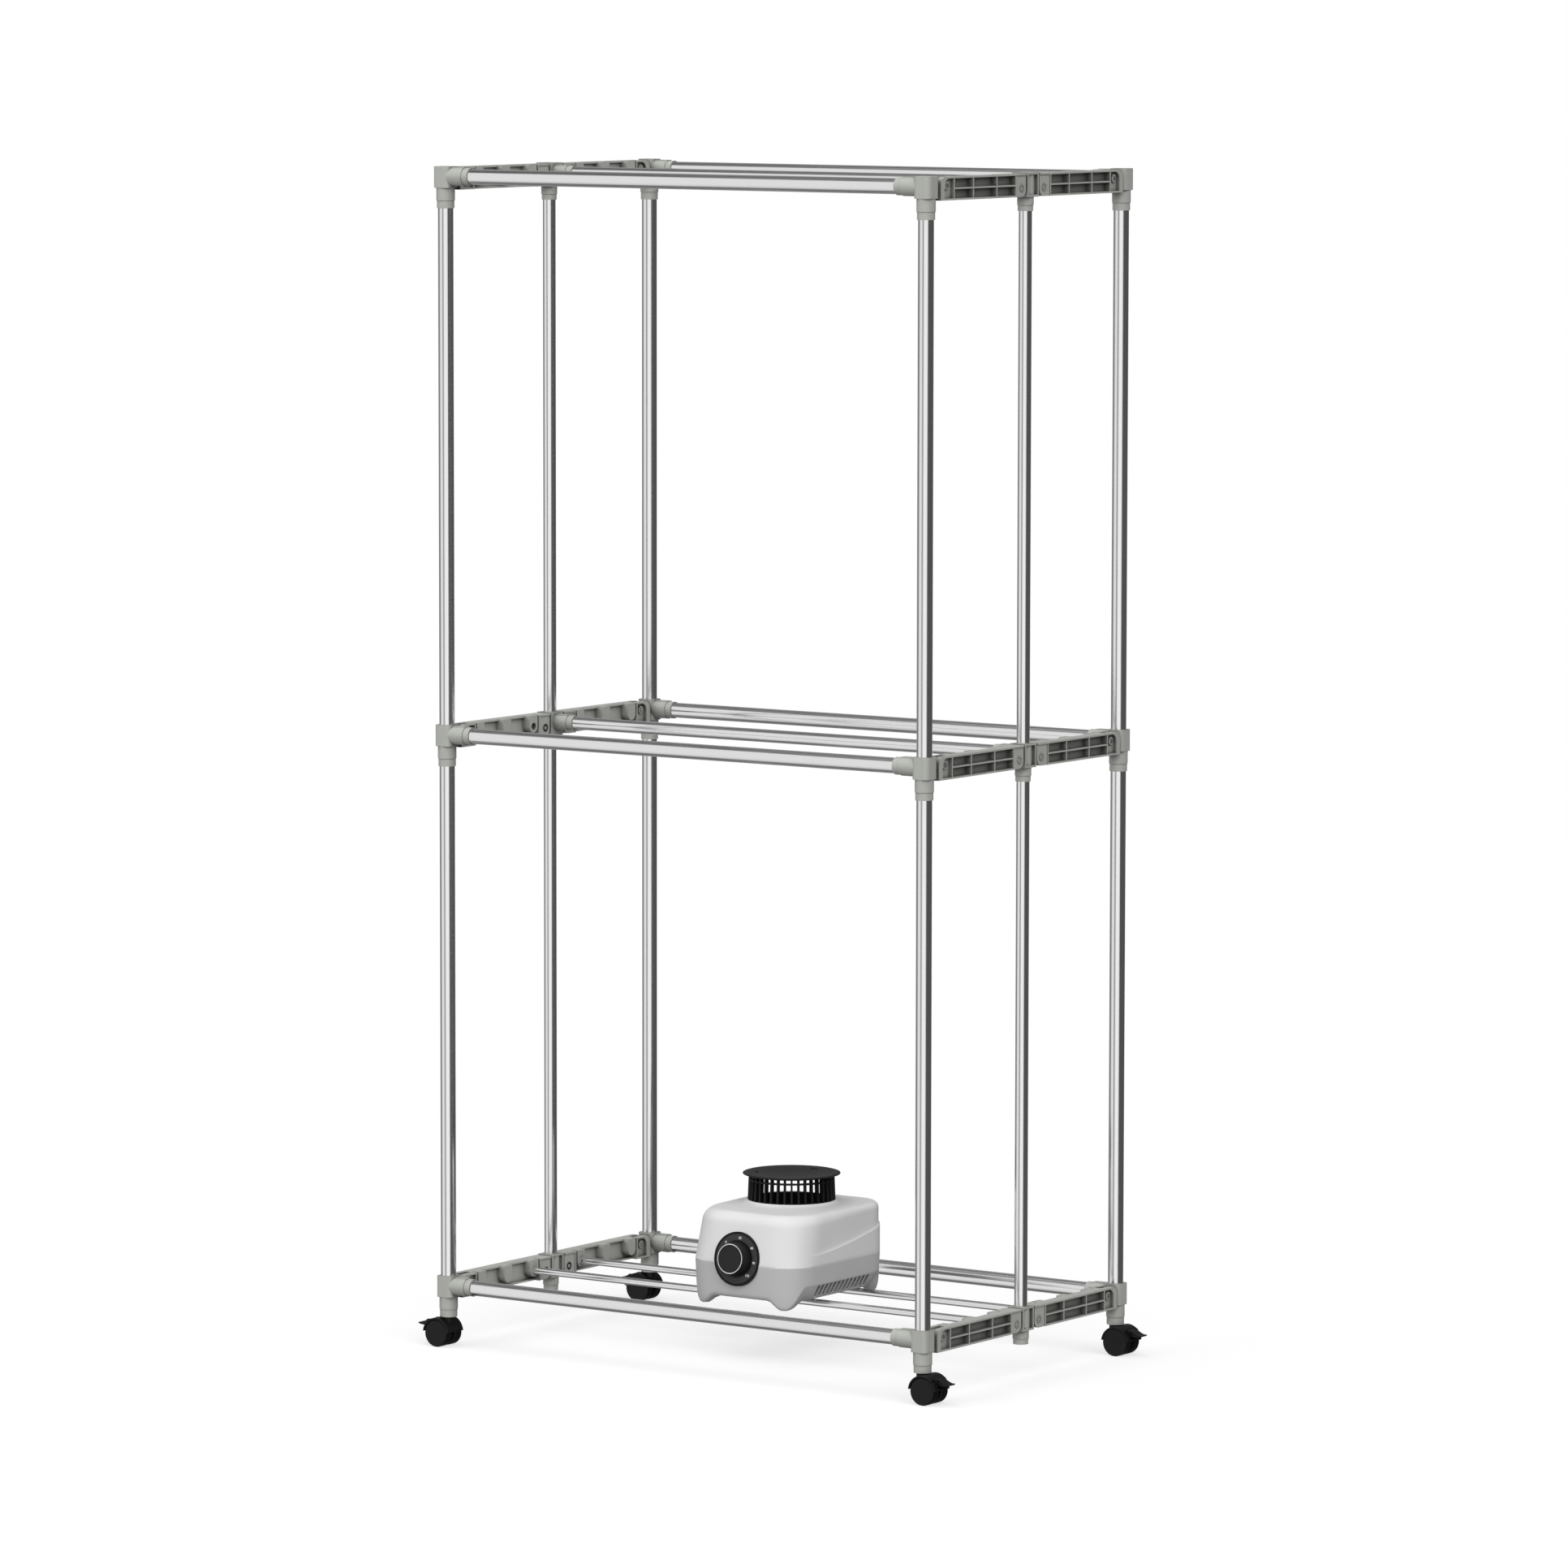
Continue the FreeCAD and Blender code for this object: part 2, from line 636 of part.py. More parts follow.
def arm_body():
    """The right rear arm along Y, with the rail axis at z = 0 and the post's line at x = 0."""
    body = new_body("arm")
    outline = new_sketch(body, "arm_outline", "YZ_Plane")
    rectangle(outline, (ARM_IN, ARM_OUT), ("-arm_drop", "arm_top"))
    extrude(body, "Pad", outline, "arm_thickness", both_ways=True)
    ends = {"corner": (reading(ARM_OUT), size("arm_top")), "centre": (reading(ARM_IN), -size("arm_drop"))}
    for end, (y, z) in ends.items():
        def at_end(edge, point, y=y, z=z):
            return abs(point.y - y) + abs(point.z - z) < 0.01
        round_edges(body, f"arm_{end}_rounding", f"{end}_end_rounding", at_end)

    cells = new_sketch(body, "arm_cells", "YZ_Plane", OUTER_FACE)
    middle = "(arm_top - arm_drop) / 2"
    for low, high in zip(RIBS, RIBS[1:]):
        columns = (f"{low} + {HALF_RIB}", f"{high} - {HALF_RIB}")
        rectangle(cells, columns, (INSIDE_BOTTOM, f"{middle} - {HALF_RIB}"))
        rectangle(cells, columns, (f"{middle} + {HALF_RIB}", INSIDE_TOP))
    extrude(body, "Pocket", cells, "cell_depth")

    back = new_sketch(body, "arm_back", "YZ_Plane", f"-{OUTER_FACE}")
    rectangle(back, (f"{FIRST_RIB} + {HALF_RIB}", f"{LAST_RIB} - {HALF_RIB}"), (INSIDE_BOTTOM, INSIDE_TOP))
    extrude(body, "Pocket", back, "arm_thickness - cell_depth - web", backwards=True)

    socket_rounds = new_sketch(body, "arm_socket_rounds", "YZ_Plane", f"-{OUTER_FACE}")
    socket_blocks = new_sketch(body, "arm_socket_blocks", "YZ_Plane", f"-{OUTER_FACE}")
    pitch = f"({ARM_MIDDLE} - rod_reach)"
    for step in (-1, 0, 1):
        centre = f"{ARM_MIDDLE} + {step} * {pitch}"
        columns = (f"{centre} - socket_block_width / 2", f"{centre} + socket_block_width / 2")
        circle(socket_rounds, centre, "-rod_drop", "socket_block_width / 2")
        rectangle(socket_blocks, columns, ("-rod_drop", "arm_top"))
    for sockets in (socket_rounds, socket_blocks):
        extrude(body, "Pad", sockets, "arm_thickness - cell_depth")

    for face, offset, turned in (("outer", OUTER_FACE, False), ("inner", f"-{OUTER_FACE}", True)):
        recess = new_sketch(body, f"arm_{face}_recess", "YZ_Plane", offset)
        hood_start = f"{LAST_RIB} + {HALF_RIB}"
        hood_end = f"{ARM_OUT} - hood_wall"
        polygon(recess, (hood_start, INSIDE_BOTTOM), (hood_end, INSIDE_BOTTOM),
                (hood_end, f"{INSIDE_TOP} - hood_corner"), (f"{hood_end} - hood_corner", INSIDE_TOP),
                (hood_start, INSIDE_TOP))
        rectangle(recess, (f"{ARM_IN} - {BEYOND}", f"{FIRST_RIB} - {HALF_RIB}"),
                  (f"-arm_drop - {BEYOND}", INSIDE_TOP))
        extrude(body, "Pocket", recess, "hinge_recess", backwards=turned)

    pivots = ((CORNER_PIVOT_Y, "corner_pivot_rise"), ("centre_pivot_reach", "-centre_pivot_drop"))
    bosses = new_sketch(body, "arm_bosses", "YZ_Plane")
    for y, z in pivots:
        circle(bosses, y, z, "boss_diameter / 2")
    extrude(body, "Pad", bosses, "arm_thickness - 2 * boss_sink", both_ways=True)

    slots = new_sketch(body, "arm_slots", "YZ_Plane")
    room = "(tongue_radius + slot_margin)"
    rectangle(slots, (f"{CORNER_PIVOT_Y} - {room}", f"{ARM_OUT} + {BEYOND}"),
              (f"corner_pivot_rise - {room}", f"arm_top + {BEYOND}"))
    rectangle(slots, (f"{ARM_IN} - {BEYOND}", f"centre_pivot_reach + {room}"),
              (f"-arm_drop - {BEYOND}", f"{room} - centre_pivot_drop"))
    extrude(body, "Pocket", slots, "tongue_thickness + 2 * tongue_gap", both_ways=True)

    holes = new_sketch(body, "arm_pin_holes", "YZ_Plane")
    for y, z in pivots:
        circle(holes, y, z, "pin_diameter / 2 + pin_play")
    extrude(body, "Pocket", holes, WHOLE, both_ways=True)

    rod_hole = new_sketch(body, "arm_rod_hole", "YZ_Plane", f"-{OUTER_FACE}")
    circle(rod_hole, "rod_reach", "-rod_drop", "rod_diameter / 2 + tube_fit")
    extrude(body, "Pocket", rod_hole, "rod_socket_depth", backwards=True)
    place(body, POST_X, "0", "0")
    return body


rear_arm = arm_body()
for side, right_arm in (("rear", rear_arm), ("front", front_of(rear_arm))):
    left_arm = left_of(right_arm)
    for level, height in LEVELS.items():
        pair = [copy_at(arm, f"{arm.Name}_at_{level}_{side}", z=height) for arm in (right_arm, left_arm)]
        node(f"{side}_arms_{level}", *pair)


# Support rods between the lowest arms, under the heater
ROD_END = f"({POST_X} - arm_thickness / 2 + rod_socket_depth)"
for side, y in (("front", "-rod_reach"), ("rear", "rod_reach")):
    node(f"{side}_support_rod", cylinder(f"{side}_rod", "x", (y, "bottom_level - rod_drop"), f"-{ROD_END}",
                                         ROD_END, "rod_diameter / 2"))


# Castors: a stemmed hood over two wheels on a fixed axle, with a toe brake
WHEEL_RADIUS = "wheel_diameter / 2"
CASTOR_X = f"({POST_X} + castor_trail)"
HOOD_INSIDE = f"({WHEEL_RADIUS} + castor_gap)"
HOOD_OUTSIDE = f"({HOOD_INSIDE} + hood_thickness)"
WHEEL_IN = "(castor_web / 2 + castor_gap)"
CASTOR_HALF = f"({WHEEL_IN} + wheel_width)"
NECK_TOP = "(bottom_level - ring_drop - neck_gap)"
STEM_TOP = "(bottom_level - ring_drop + stem_length - neck_gap)"
PEDAL_RADIUS = f"({HOOD_OUTSIDE} + pedal_lift)"
PEDAL_X = f"({CASTOR_X} + {PEDAL_RADIUS} * cos(pedal_angle))"
PEDAL_Z = f"({WHEEL_RADIUS} + {PEDAL_RADIUS} * sin(pedal_angle))"
PEDAL_ROOM = "(pedal_width / 2 + castor_gap / 2)"
EAR_OUTSIDE = f"({PEDAL_ROOM} + pedal_ear)"
CASTOR_AXIS = (CASTOR_X, WHEEL_RADIUS)
PEDAL_AXIS = (PEDAL_X, PEDAL_Z)


def rear(offset):
    """A y place measured from the rear posts."""
    return f"{POST_Y} + ({offset})"


def across_rear(half):
    return (rear(f"-{half}"), rear(half))


def castor_housing():
    hood = cylinder("hood_outside", "y", CASTOR_AXIS, *across_rear(CASTOR_HALF), HOOD_OUTSIDE)
    neck = cylinder("castor_neck", "z", (POST_X, POST_Y), WHEEL_RADIUS, NECK_TOP, "neck_diameter / 2")
    stem = cylinder("castor_stem", "z", (POST_X, POST_Y), WHEEL_RADIUS, STEM_TOP, "stem_diameter / 2")
    under = box("hood_under", (f"{CASTOR_X} - {HOOD_OUTSIDE}", f"{CASTOR_X} + {HOOD_OUTSIDE}"),
                across_rear(CASTOR_HALF),
                (f"{WHEEL_RADIUS} - {HOOD_OUTSIDE}", f"{WHEEL_RADIUS} + hood_edge"))
    web = cylinder("castor_web_disc", "y", CASTOR_AXIS, *across_rear("castor_web / 2"), "web_radius")
    notch = box("pedal_notch",
                (f"{PEDAL_X} - pedal_hub - pedal_lift", f"{CASTOR_X} + {HOOD_OUTSIDE}"),
                across_rear(PEDAL_ROOM),
                (f"{PEDAL_Z} - pedal_notch_drop", f"{WHEEL_RADIUS} + {HOOD_OUTSIDE}"))
    ears = []
    ear_sides = {"far": (PEDAL_ROOM, EAR_OUTSIDE), "near": (f"-{EAR_OUTSIDE}", f"-{PEDAL_ROOM}")}
    for name, (inner, outer) in ear_sides.items():
        span = (rear(inner), rear(outer))
        ears.append(cylinder(f"pedal_ear_{name}", "y", PEDAL_AXIS, *span, "pedal_ear_radius"))
    wells = []
    for name, low, high in (("far", "castor_web / 2", f"{CASTOR_HALF} + castor_gap"),
                            ("near", f"-({CASTOR_HALF} + castor_gap)", "-castor_web / 2")):
        span = (rear(low), rear(high))
        wells.append(cylinder(f"wheel_well_{name}", "y", CASTOR_AXIS, *span, HOOD_INSIDE))
    pin_hole = cylinder("pedal_pin_hole", "y", PEDAL_AXIS, *across_rear(CASTOR_HALF),
                        "pedal_pin / 2 + pin_play")
    axle_hole = cylinder("castor_axle_hole", "y", CASTOR_AXIS, *across_rear(CASTOR_HALF),
                         "axle_diameter / 2 + pin_hold")
    shroud = cut("hood_shroud", fuse("hood_with_neck", hood, neck), under, notch)
    return cut("castor_hood", fuse("hood_with_web", shroud, stem, web, *ears), *wells, pin_hole, axle_hole)


def castor_wheel(name, low, high, bore_low, bore_high):
    """A wheel with a round tread and a bore that stops short of its outer face."""
    tread = doc.addObject("Part::Fillet", name + "_tread")
    tread.Base = cylinder(name + "_disc", "y", CASTOR_AXIS, rear(low), rear(high), WHEEL_RADIUS)
    rims = (1, 3)
    tread.Edges = [(edge, size("wheel_rounding"), size("wheel_rounding")) for edge in rims]
    bore = cylinder(name + "_bore", "y", CASTOR_AXIS, rear(bore_low), rear(bore_high),
                    "axle_diameter / 2 + axle_play")
    return cut(name, tread, bore)


def castor_pedal():
    plate = doc.addObject("Part::Box", "pedal_plate")
    bind(plate, "Length", "pedal_length")
    bind(plate, "Width", "pedal_width")
    bind(plate, "Height", "pedal_thickness")
    plate.Placement = Placement(Vector(), Rotation(Vector(0, 1, 0), size("pedal_slope")))
    half = "pedal_thickness / 2"
    place(plate, f"{PEDAL_X} - {half} * sin(pedal_slope)", rear("-pedal_width / 2"),
          f"{PEDAL_Z} - {half} * cos(pedal_slope)")
    hub = cylinder("pedal_hub_bar", "y", PEDAL_AXIS, *across_rear("pedal_width / 2"), "pedal_hub")
    pin = cylinder("pedal_pin_bar", "y", PEDAL_AXIS, *across_rear(EAR_OUTSIDE), "pedal_pin / 2")
    return fuse("pedal", plate, hub, pin)


BORE_END = f"({CASTOR_HALF} - axle_cover)"
axle_half = f"({BORE_END} - castor_gap)"
castor_pieces = {
    "housing": [castor_housing()],
    "wheels": [castor_wheel("far_wheel", WHEEL_IN, CASTOR_HALF, WHEEL_IN, BORE_END),
               castor_wheel("near_wheel", f"-{CASTOR_HALF}", f"-{WHEEL_IN}", f"-{BORE_END}", f"-{WHEEL_IN}")],
    "axle": [cylinder("wheel_axle", "y", CASTOR_AXIS, *across_rear(axle_half), "axle_diameter / 2")],
    "brake": [castor_pedal()],
}
for piece, solids in castor_pieces.items():
    node(f"castor_rear_right_{piece}", *solids)
    node(f"castor_rear_left_{piece}", *[left_of(solid) for solid in solids])
    fronts = [front_of(solid) for solid in solids]
    node(f"castor_front_right_{piece}", *fronts)
    node(f"castor_front_left_{piece}", *[left_of(solid) for solid in fronts])


# Heater casing: two moulded shells that meet at a level seam, on four corner feet
HALF_WIDTH = "heater_width / 2"
HALF_LENGTH = "heater_length / 2"
SHOULDER_START = "(heater_shoulder - shoulder_rounding)"
CEILING = "(heater_shoulder - ceiling_wall)"
OUTLET_RADIUS = "outlet_diameter / 2"
DUCT_RADIUS = f"({OUTLET_RADIUS} - outlet_wall)"
OUTLET = ("heater_x", "outlet_y")
FLOOR_TOP = f"({BELLY} + base_floor)"
FOOT_BOTTOM = f"({BELLY} - heater_foot_drop)"
BELLY_INSET = f"(base_draft * (heater_seam - {BELLY}) / (heater_seam - {FOOT_BOTTOM}))"


def shell_section(body, name, z, inset, corner, leaned=False):
    """A level section of the casing; a leaned one has the front's lean and the sides' draft."""
    side, front, back, growth = ("0", "0", "0", "0")
    if leaned:
        side = "side_draft"
        front = f"(({z}) - heater_seam) * tan(front_lean)"
        back = "back_draft"
        growth = "front_corner_growth"
    section = new_sketch(body, name, "XY_Plane", z)
    rounded_rectangle(section, f"{HALF_WIDTH} - {side} - ({inset})",
                      f"{HALF_LENGTH} - ({front} + {back}) / 2 - ({inset})",
                      corner, f"{corner} + {growth}", f"({front} - {back}) / 2")
    return section


def loft(body, kind, name, sections, ruled):
    feature = body.newObject(f"PartDesign::{kind}Loft", name)
    feature.Profile = sections[0]
    feature.Sections = sections[1:]
    feature.Ruled = ruled
    doc.recompute()
    return feature


def upper_shell():
    body = new_body("upper_body")
    seam = shell_section(body, "upper_seam", "heater_seam", "0", "heater_corner")
    shoulder = (
        (SHOULDER_START, "0"),
        ("heater_shoulder - shoulder_rounding * shoulder_knee", "shoulder_rounding * shoulder_knee"),
        ("heater_shoulder", "shoulder_rounding"),
    )
    rounds = [shell_section(body, f"upper_shoulder_{index}", z, inset, f"heater_corner - ({inset}) / 2", True)
              for index, (z, inset) in enumerate(shoulder)]
    collar = new_sketch(body, "upper_collar", "XY_Plane", "heater_collar")
    collar_radius = f"({OUTLET_RADIUS} + collar_width)"
    collar_corner = f"{collar_radius} - outlet_fit"
    rounded_rectangle(collar, collar_radius, collar_radius, collar_corner, collar_corner, "outlet_y")
    loft(body, "Additive", "upper_sides", [seam, rounds[0]], ruled=True)
    loft(body, "Additive", "upper_shoulder", rounds, ruled=False)
    loft(body, "Additive", "upper_crown", [rounds[-1], collar], ruled=True)
    hollow = [
        shell_section(body, "upper_hollow_seam", "heater_seam", "heater_wall", "heater_corner - heater_wall"),
        shell_section(body, "upper_hollow_shoulder", SHOULDER_START, "heater_wall",
                      "heater_corner - heater_wall", True),
        shell_section(body, "upper_hollow_top", CEILING, "heater_wall + shoulder_rounding",
                      "heater_corner - heater_wall - shoulder_rounding", True),
    ]
    loft(body, "Subtractive", "upper_hollow", hollow, ruled=True)
    opening = new_sketch(body, "upper_opening", "XY_Plane", "heater_collar + outlet_wall")
    circle(opening, "0", "outlet_y", f"{OUTLET_RADIUS} + outlet_fit")
    extrude(body, "Pocket", opening, "heater_collar - heater_seam")
    place(body, "heater_x", "0", "0")
    return body


def lower_shell():
    body = new_body("lower_body")
    outside = [shell_section(body, "lower_belly", BELLY, BELLY_INSET, "heater_corner"),
               shell_section(body, "lower_seam", "heater_seam", "0", "heater_corner")]
    loft(body, "Additive", "lower_form", outside, ruled=True)
    inside = (
        (FLOOR_TOP, "heater_wall + cove_width"),
        (f"{FLOOR_TOP} + cove_height", "heater_wall + base_draft"),
        ("heater_seam", "heater_wall"),
    )
    hollow = [shell_section(body, f"lower_inside_{index}", z, inset, f"heater_corner - ({inset})")
              for index, (z, inset) in enumerate(inside)]
    loft(body, "Subtractive", "lower_hollow", hollow, ruled=True)

    cove = new_sketch(body, "cove_outline", "XZ_Plane")
    edge = f"({HALF_WIDTH} - cove_width)"
    slope = "cove_height / cove_width"
    for sign in ("", "-"):
        polygon(cove, (f"{sign}{edge}", f"{BELLY} - base_floor * {slope}"),
                (f"{sign}({HALF_WIDTH} + base_floor)", f"{BELLY} - base_floor * {slope}"),
                (f"{sign}({HALF_WIDTH} + base_floor)", f"{BELLY} + cove_height + base_floor * {slope}"),
                (f"{sign}{edge}", BELLY))
    extrude(body, "Pocket", cove, "side_arch - 2 * arch_slope", both_ways=True)

    vent = new_sketch(body, "vent_outline", "XY_Plane", FOOT_BOTTOM)
    first = "(vent_pitch * (vent_count - 1) / 2)"
    for sign in ("", "-"):
        columns = (f"{sign}({HALF_WIDTH} - heater_wall - cove_width)", f"{sign}({HALF_WIDTH} - vent_edge)")
        rectangle(vent, columns, (f"-{first} - vent_width / 2", f"-{first} + vent_width / 2"))
    slot = extrude(body, "Pocket", vent, f"{FLOOR_TOP} - {FOOT_BOTTOM} + cove_height", backwards=True)
    vents = body.newObject("PartDesign::LinearPattern", "vents")
    vents.Originals = [slot]
    run = next(part for part in body.Origin.OriginFeatures if part.Role == "Y_Axis")
    vents.Direction = (run, [""])
    bind(vents, "Length", "vent_pitch * (vent_count - 1)")
    bind(vents, "Occurrences", "vent_count")
    body.Tip = vents
    doc.recompute()

    boss = new_sketch(body, "motor_boss_outline", "XY_Plane", BELLY)
    circle(boss, "0", "outlet_y", "motor_diameter / 2")
    extrude(body, "Pad", boss, "base_floor + motor_boss")
    place(body, "heater_x", "0", "0")
    return body


def foot_arch(view, plane, span):
    """The space between two feet, seen along the plane's normal."""
    body = new_body(f"{view}_arch")
    outline = new_sketch(body, f"{view}_arch_outline", plane)
    low = f"{FOOT_BOTTOM} - base_floor"
    wide = f"({span} / 2 + arch_slope * (heater_foot_drop + base_floor) / heater_foot_drop)"
    polygon(outline, (f"-{wide}", low), (wide, low), (f"{span} / 2", BELLY), (f"-{span} / 2", BELLY))
    extrude(body, "Pad", outline, "2 * heater_length", both_ways=True)
    place(body, "heater_x", "0", "0")
    return body


def foot_ring():
    body = new_body("foot_body")
    sections = [shell_section(body, "foot_bottom", FOOT_BOTTOM, "base_draft", "heater_corner"),
                shell_section(body, "foot_top", BELLY, BELLY_INSET, "heater_corner")]
    loft(body, "Additive", "foot_form", sections, ruled=True)
    place(body, "heater_x", "0", "0")
    return body


# The dial and knob share one axis, square to the leaning front; their own y = 0 is the dial's face.
DIAL_AXIS = ("0", "0")
DIAL_PLACE = ("dial_x", f"(dial_z - heater_seam) * tan(front_lean) - {HALF_LENGTH} - dial_proud", "dial_z")


def dial_disc(name, front, back, radius):
    return cylinder(name, "y", DIAL_AXIS, front, back, radius)


def on_front(source):
    """Set a piece drawn on the dial's own axis against the leaning front."""
    obj = copy_at(source, source.Name + "_on_front", *DIAL_PLACE)
    obj.Placement = Placement(obj.Placement.Base, Rotation(Vector(1, 0, 0), -size("front_lean")))
    return obj


dial_hole = on_front(dial_disc("dial_hole", "-dial_thickness", "dial_thickness + heater_wall",
                               "dial_diameter / 2 + dial_fit"))
GLAND = ("heater_x", f"({FLOOR_TOP} + cove_height + heater_seam) / 2")
GLAND_IN = f"({HALF_LENGTH} - gland_depth)"
GLAND_OUT = f"({HALF_LENGTH} + gland_reach)"
gland_hole = cylinder("gland_hole", "y", GLAND, GLAND_IN, GLAND_OUT, "gland_diameter / 2")
node("heater_upper_shell", cut("upper_shell", upper_shell(), dial_hole))
node("heater_lower_shell", cut("lower_shell", lower_shell(), dial_hole, gland_hole))
node("heater_feet", cut("feet", foot_ring(), foot_arch("front", "XZ_Plane", "front_arch"),
                        foot_arch("side", "YZ_Plane", "side_arch")))

gland_neck = cylinder("gland_neck", "y", GLAND, GLAND_IN, GLAND_OUT, "gland_diameter / 2 - pin_hold")
gland_flange = cylinder("gland_flange", "y", GLAND, GLAND_IN, f"{GLAND_IN} + gland_flange",
                        "gland_diameter / 2 + heater_wall")
gland_way = cylinder("gland_way", "y", GLAND, GLAND_IN, GLAND_OUT, "gland_bore / 2")
node("cable_gland", cut("gland", fuse("gland_solid", gland_neck, gland_flange), gland_way))


# Air outlet: a slotted ring that runs down inside as the fan duct, and a dished cap
def outlet_grille():
    body = new_body("grille_body")
    wall = new_sketch(body, "grille_wall", "XY_Plane", "outlet_skirt")
    circle(wall, "0", "0", OUTLET_RADIUS)
    circle(wall, "0", "0", DUCT_RADIUS)
    extrude(body, "Pad", wall, "outlet_top - outlet_skirt")
    flange = new_sketch(body, "grille_flange", "XY_Plane", CEILING)
    circle(flange, "0", "0", f"{OUTLET_RADIUS} + collar_width / 2")
    circle(flange, "0", "0", DUCT_RADIUS)
    extrude(body, "Pad", flange, "outlet_wall", backwards=True)
    ledge = new_sketch(body, "grille_ledge", "XY_Plane", "element_level")
    circle(ledge, "0", "0", f"{DUCT_RADIUS} + outlet_wall / 2")
    circle(ledge, "0", "0", f"{DUCT_RADIUS} - element_seat")
    extrude(body, "Pad", ledge, "element_seat", backwards=True)
    place(body, *OUTLET, "0")
    slot_count = int(size("slot_count"))
    windows = []
    for row, (low, high) in {"low": ("slot_bottom", "slot_middle - slot_ring / 2"),
                             "high": ("slot_middle + slot_ring / 2", "outlet_top - slot_head")}.items():
        window = box(f"window_{row}", (f"{DUCT_RADIUS} - outlet_wall", f"{OUTLET_RADIUS} + outlet_wall"),
                     ("-slot_width / 2", "slot_width / 2"), (low, high))
        for index in range(slot_count):
            turned = copy_at(window, f"window_{row}_{index}", *OUTLET)
            turned.Placement = Placement(Vector(), Rotation(Vector(0, 0, 1), index * 360 / slot_count))
            windows.append(turned)
    bank = doc.addObject("Part::Compound", "grille_windows")
    bank.Links = windows
    return cut("grille", body, bank)


def deflector_cap():
    body = new_body("cap_body")
    profile = new_sketch(body, "cap_profile", "XZ_Plane")
    rim = "cap_diameter / 2"
    polygon(profile, ("0", "outlet_top - cap_dish"),
            (DUCT_RADIUS, "outlet_top"), (OUTLET_RADIUS, "outlet_top"),
            (rim, "outlet_top + cap_lift"), (rim, "outlet_top + cap_lift + cap_edge"),
            (OUTLET_RADIUS, "outlet_top + cap_edge"), (DUCT_RADIUS, "outlet_top + cap_edge"),
            ("0", "outlet_top - cap_dish + cap_edge"))
    turned = body.newObject("PartDesign::Revolution", "cap_form")
    turned.Profile = profile
    turned.ReferenceAxis = (profile, ["V_Axis"])
    turned.Angle = 360
    doc.recompute()
    place(body, *OUTLET, "0")
    return body


node("outlet_grille", outlet_grille())
node("deflector_cap", deflector_cap())


# Timer: a dial plate through the front, the clockwork behind it and the knob on its shaft
KNOB_FACE = "(-knob_gap - knob_length)"
FACE_RADIUS = "(knob_diameter / 2 - knob_taper)"
RING_RADIUS = f"({FACE_RADIUS} - knob_ring_inset)"
SHAFT_HOLE_END = "dial_thickness + timer_depth / 2"
RING_FRONT = f"{KNOB_FACE} - knob_ring_height"
plug = dial_disc("dial_plug", "0", "dial_thickness", "dial_diameter / 2")
rim_outer = dial_disc("dial_rim_outer", "-dial_rim_height", "0", "dial_diameter / 2")
rim_inner = dial_disc("dial_rim_inner", "-dial_rim_height", "0", "dial_diameter / 2 - dial_rim")
rim = cut("dial_rim_ring", rim_outer, rim_inner)
shaft_hole = dial_disc("dial_shaft_hole", "0", SHAFT_HOLE_END, "shaft_diameter / 2 + shaft_play")
node("dial_plate", on_front(cut("dial", fuse("dial_blank", plug, rim), shaft_hole)))

timer_half = ("-timer_width / 2", "timer_width / 2")
timer_case = box("timer_case", timer_half, ("dial_thickness", "dial_thickness + timer_depth"), timer_half)
node("timer_unit", on_front(cut("timer", timer_case, shaft_hole)))

knob_grip = cone("knob_grip", "y", DIAL_AXIS, KNOB_FACE, "-knob_gap", FACE_RADIUS, "knob_diameter / 2")
knob_shaft = dial_disc("knob_shaft", "-knob_gap", f"{SHAFT_HOLE_END} - knob_gap", "shaft_diameter / 2")
node("timer_knob", on_front(fuse("knob", knob_grip, knob_shaft)))
ring_outer = dial_disc("ring_outer", RING_FRONT, KNOB_FACE, RING_RADIUS)
ring_inner = dial_disc("ring_inner", RING_FRONT, KNOB_FACE, f"{RING_RADIUS} - knob_ring_width")
node("knob_ring", on_front(cut("ring", ring_outer, ring_inner)))


# Fan, motor and heating element on the outlet's axis
MOTOR_BOTTOM = f"({FLOOR_TOP} + motor_boss)"
MOTOR_TOP = f"({MOTOR_BOTTOM} + motor_height)"
FAN_BOTTOM = f"({MOTOR_TOP} + fan_gap)"
FAN_TOP = f"({FAN_BOTTOM} + fan_height)"
SHAFT_BOTTOM = f"({MOTOR_TOP} - motor_height / 2)"


def on_axis(name, low, high, radius):
    return cylinder(name, "z", OUTLET, low, high, radius)


motor_can = on_axis("motor_can", MOTOR_BOTTOM, MOTOR_TOP, "motor_diameter / 2")
motor_bore = on_axis("motor_bore", f"{SHAFT_BOTTOM} - fan_gap", MOTOR_TOP, "motor_shaft / 2 + shaft_play")
node("fan_motor", cut("motor", motor_can, motor_bore))

blades = []
for index in range(int(size("blade_count"))):
    blade = doc.addObject("Part::Box", f"blade_{index}")
    bind(blade, "Length", "fan_diameter / 2")
    bind(blade, "Width", "2 * fan_height")
    bind(blade, "Height", "blade_thickness")
    turn = Rotation(Vector(0, 0, 1), index * 360 / size("blade_count"))
    pitch = Rotation(Vector(1, 0, 0), size("blade_pitch"))
    middle = Vector(0, size("fan_height"), size("blade_thickness") / 2)
    axis_point = Vector(*[reading(item) for item in (*OUTLET, f"({FAN_BOTTOM} + {FAN_TOP}) / 2")])
    facing = turn.multiply(pitch)
    blade.Placement = Placement(axis_point - facing.multVec(middle), facing)
    blades.append(blade)
swept = common("fan_swept", fuse("fan_blades", *blades),
               on_axis("fan_envelope", FAN_BOTTOM, FAN_TOP, "fan_diameter / 2"))
hub = on_axis("fan_hub", FAN_BOTTOM, FAN_TOP, "hub_diameter / 2")
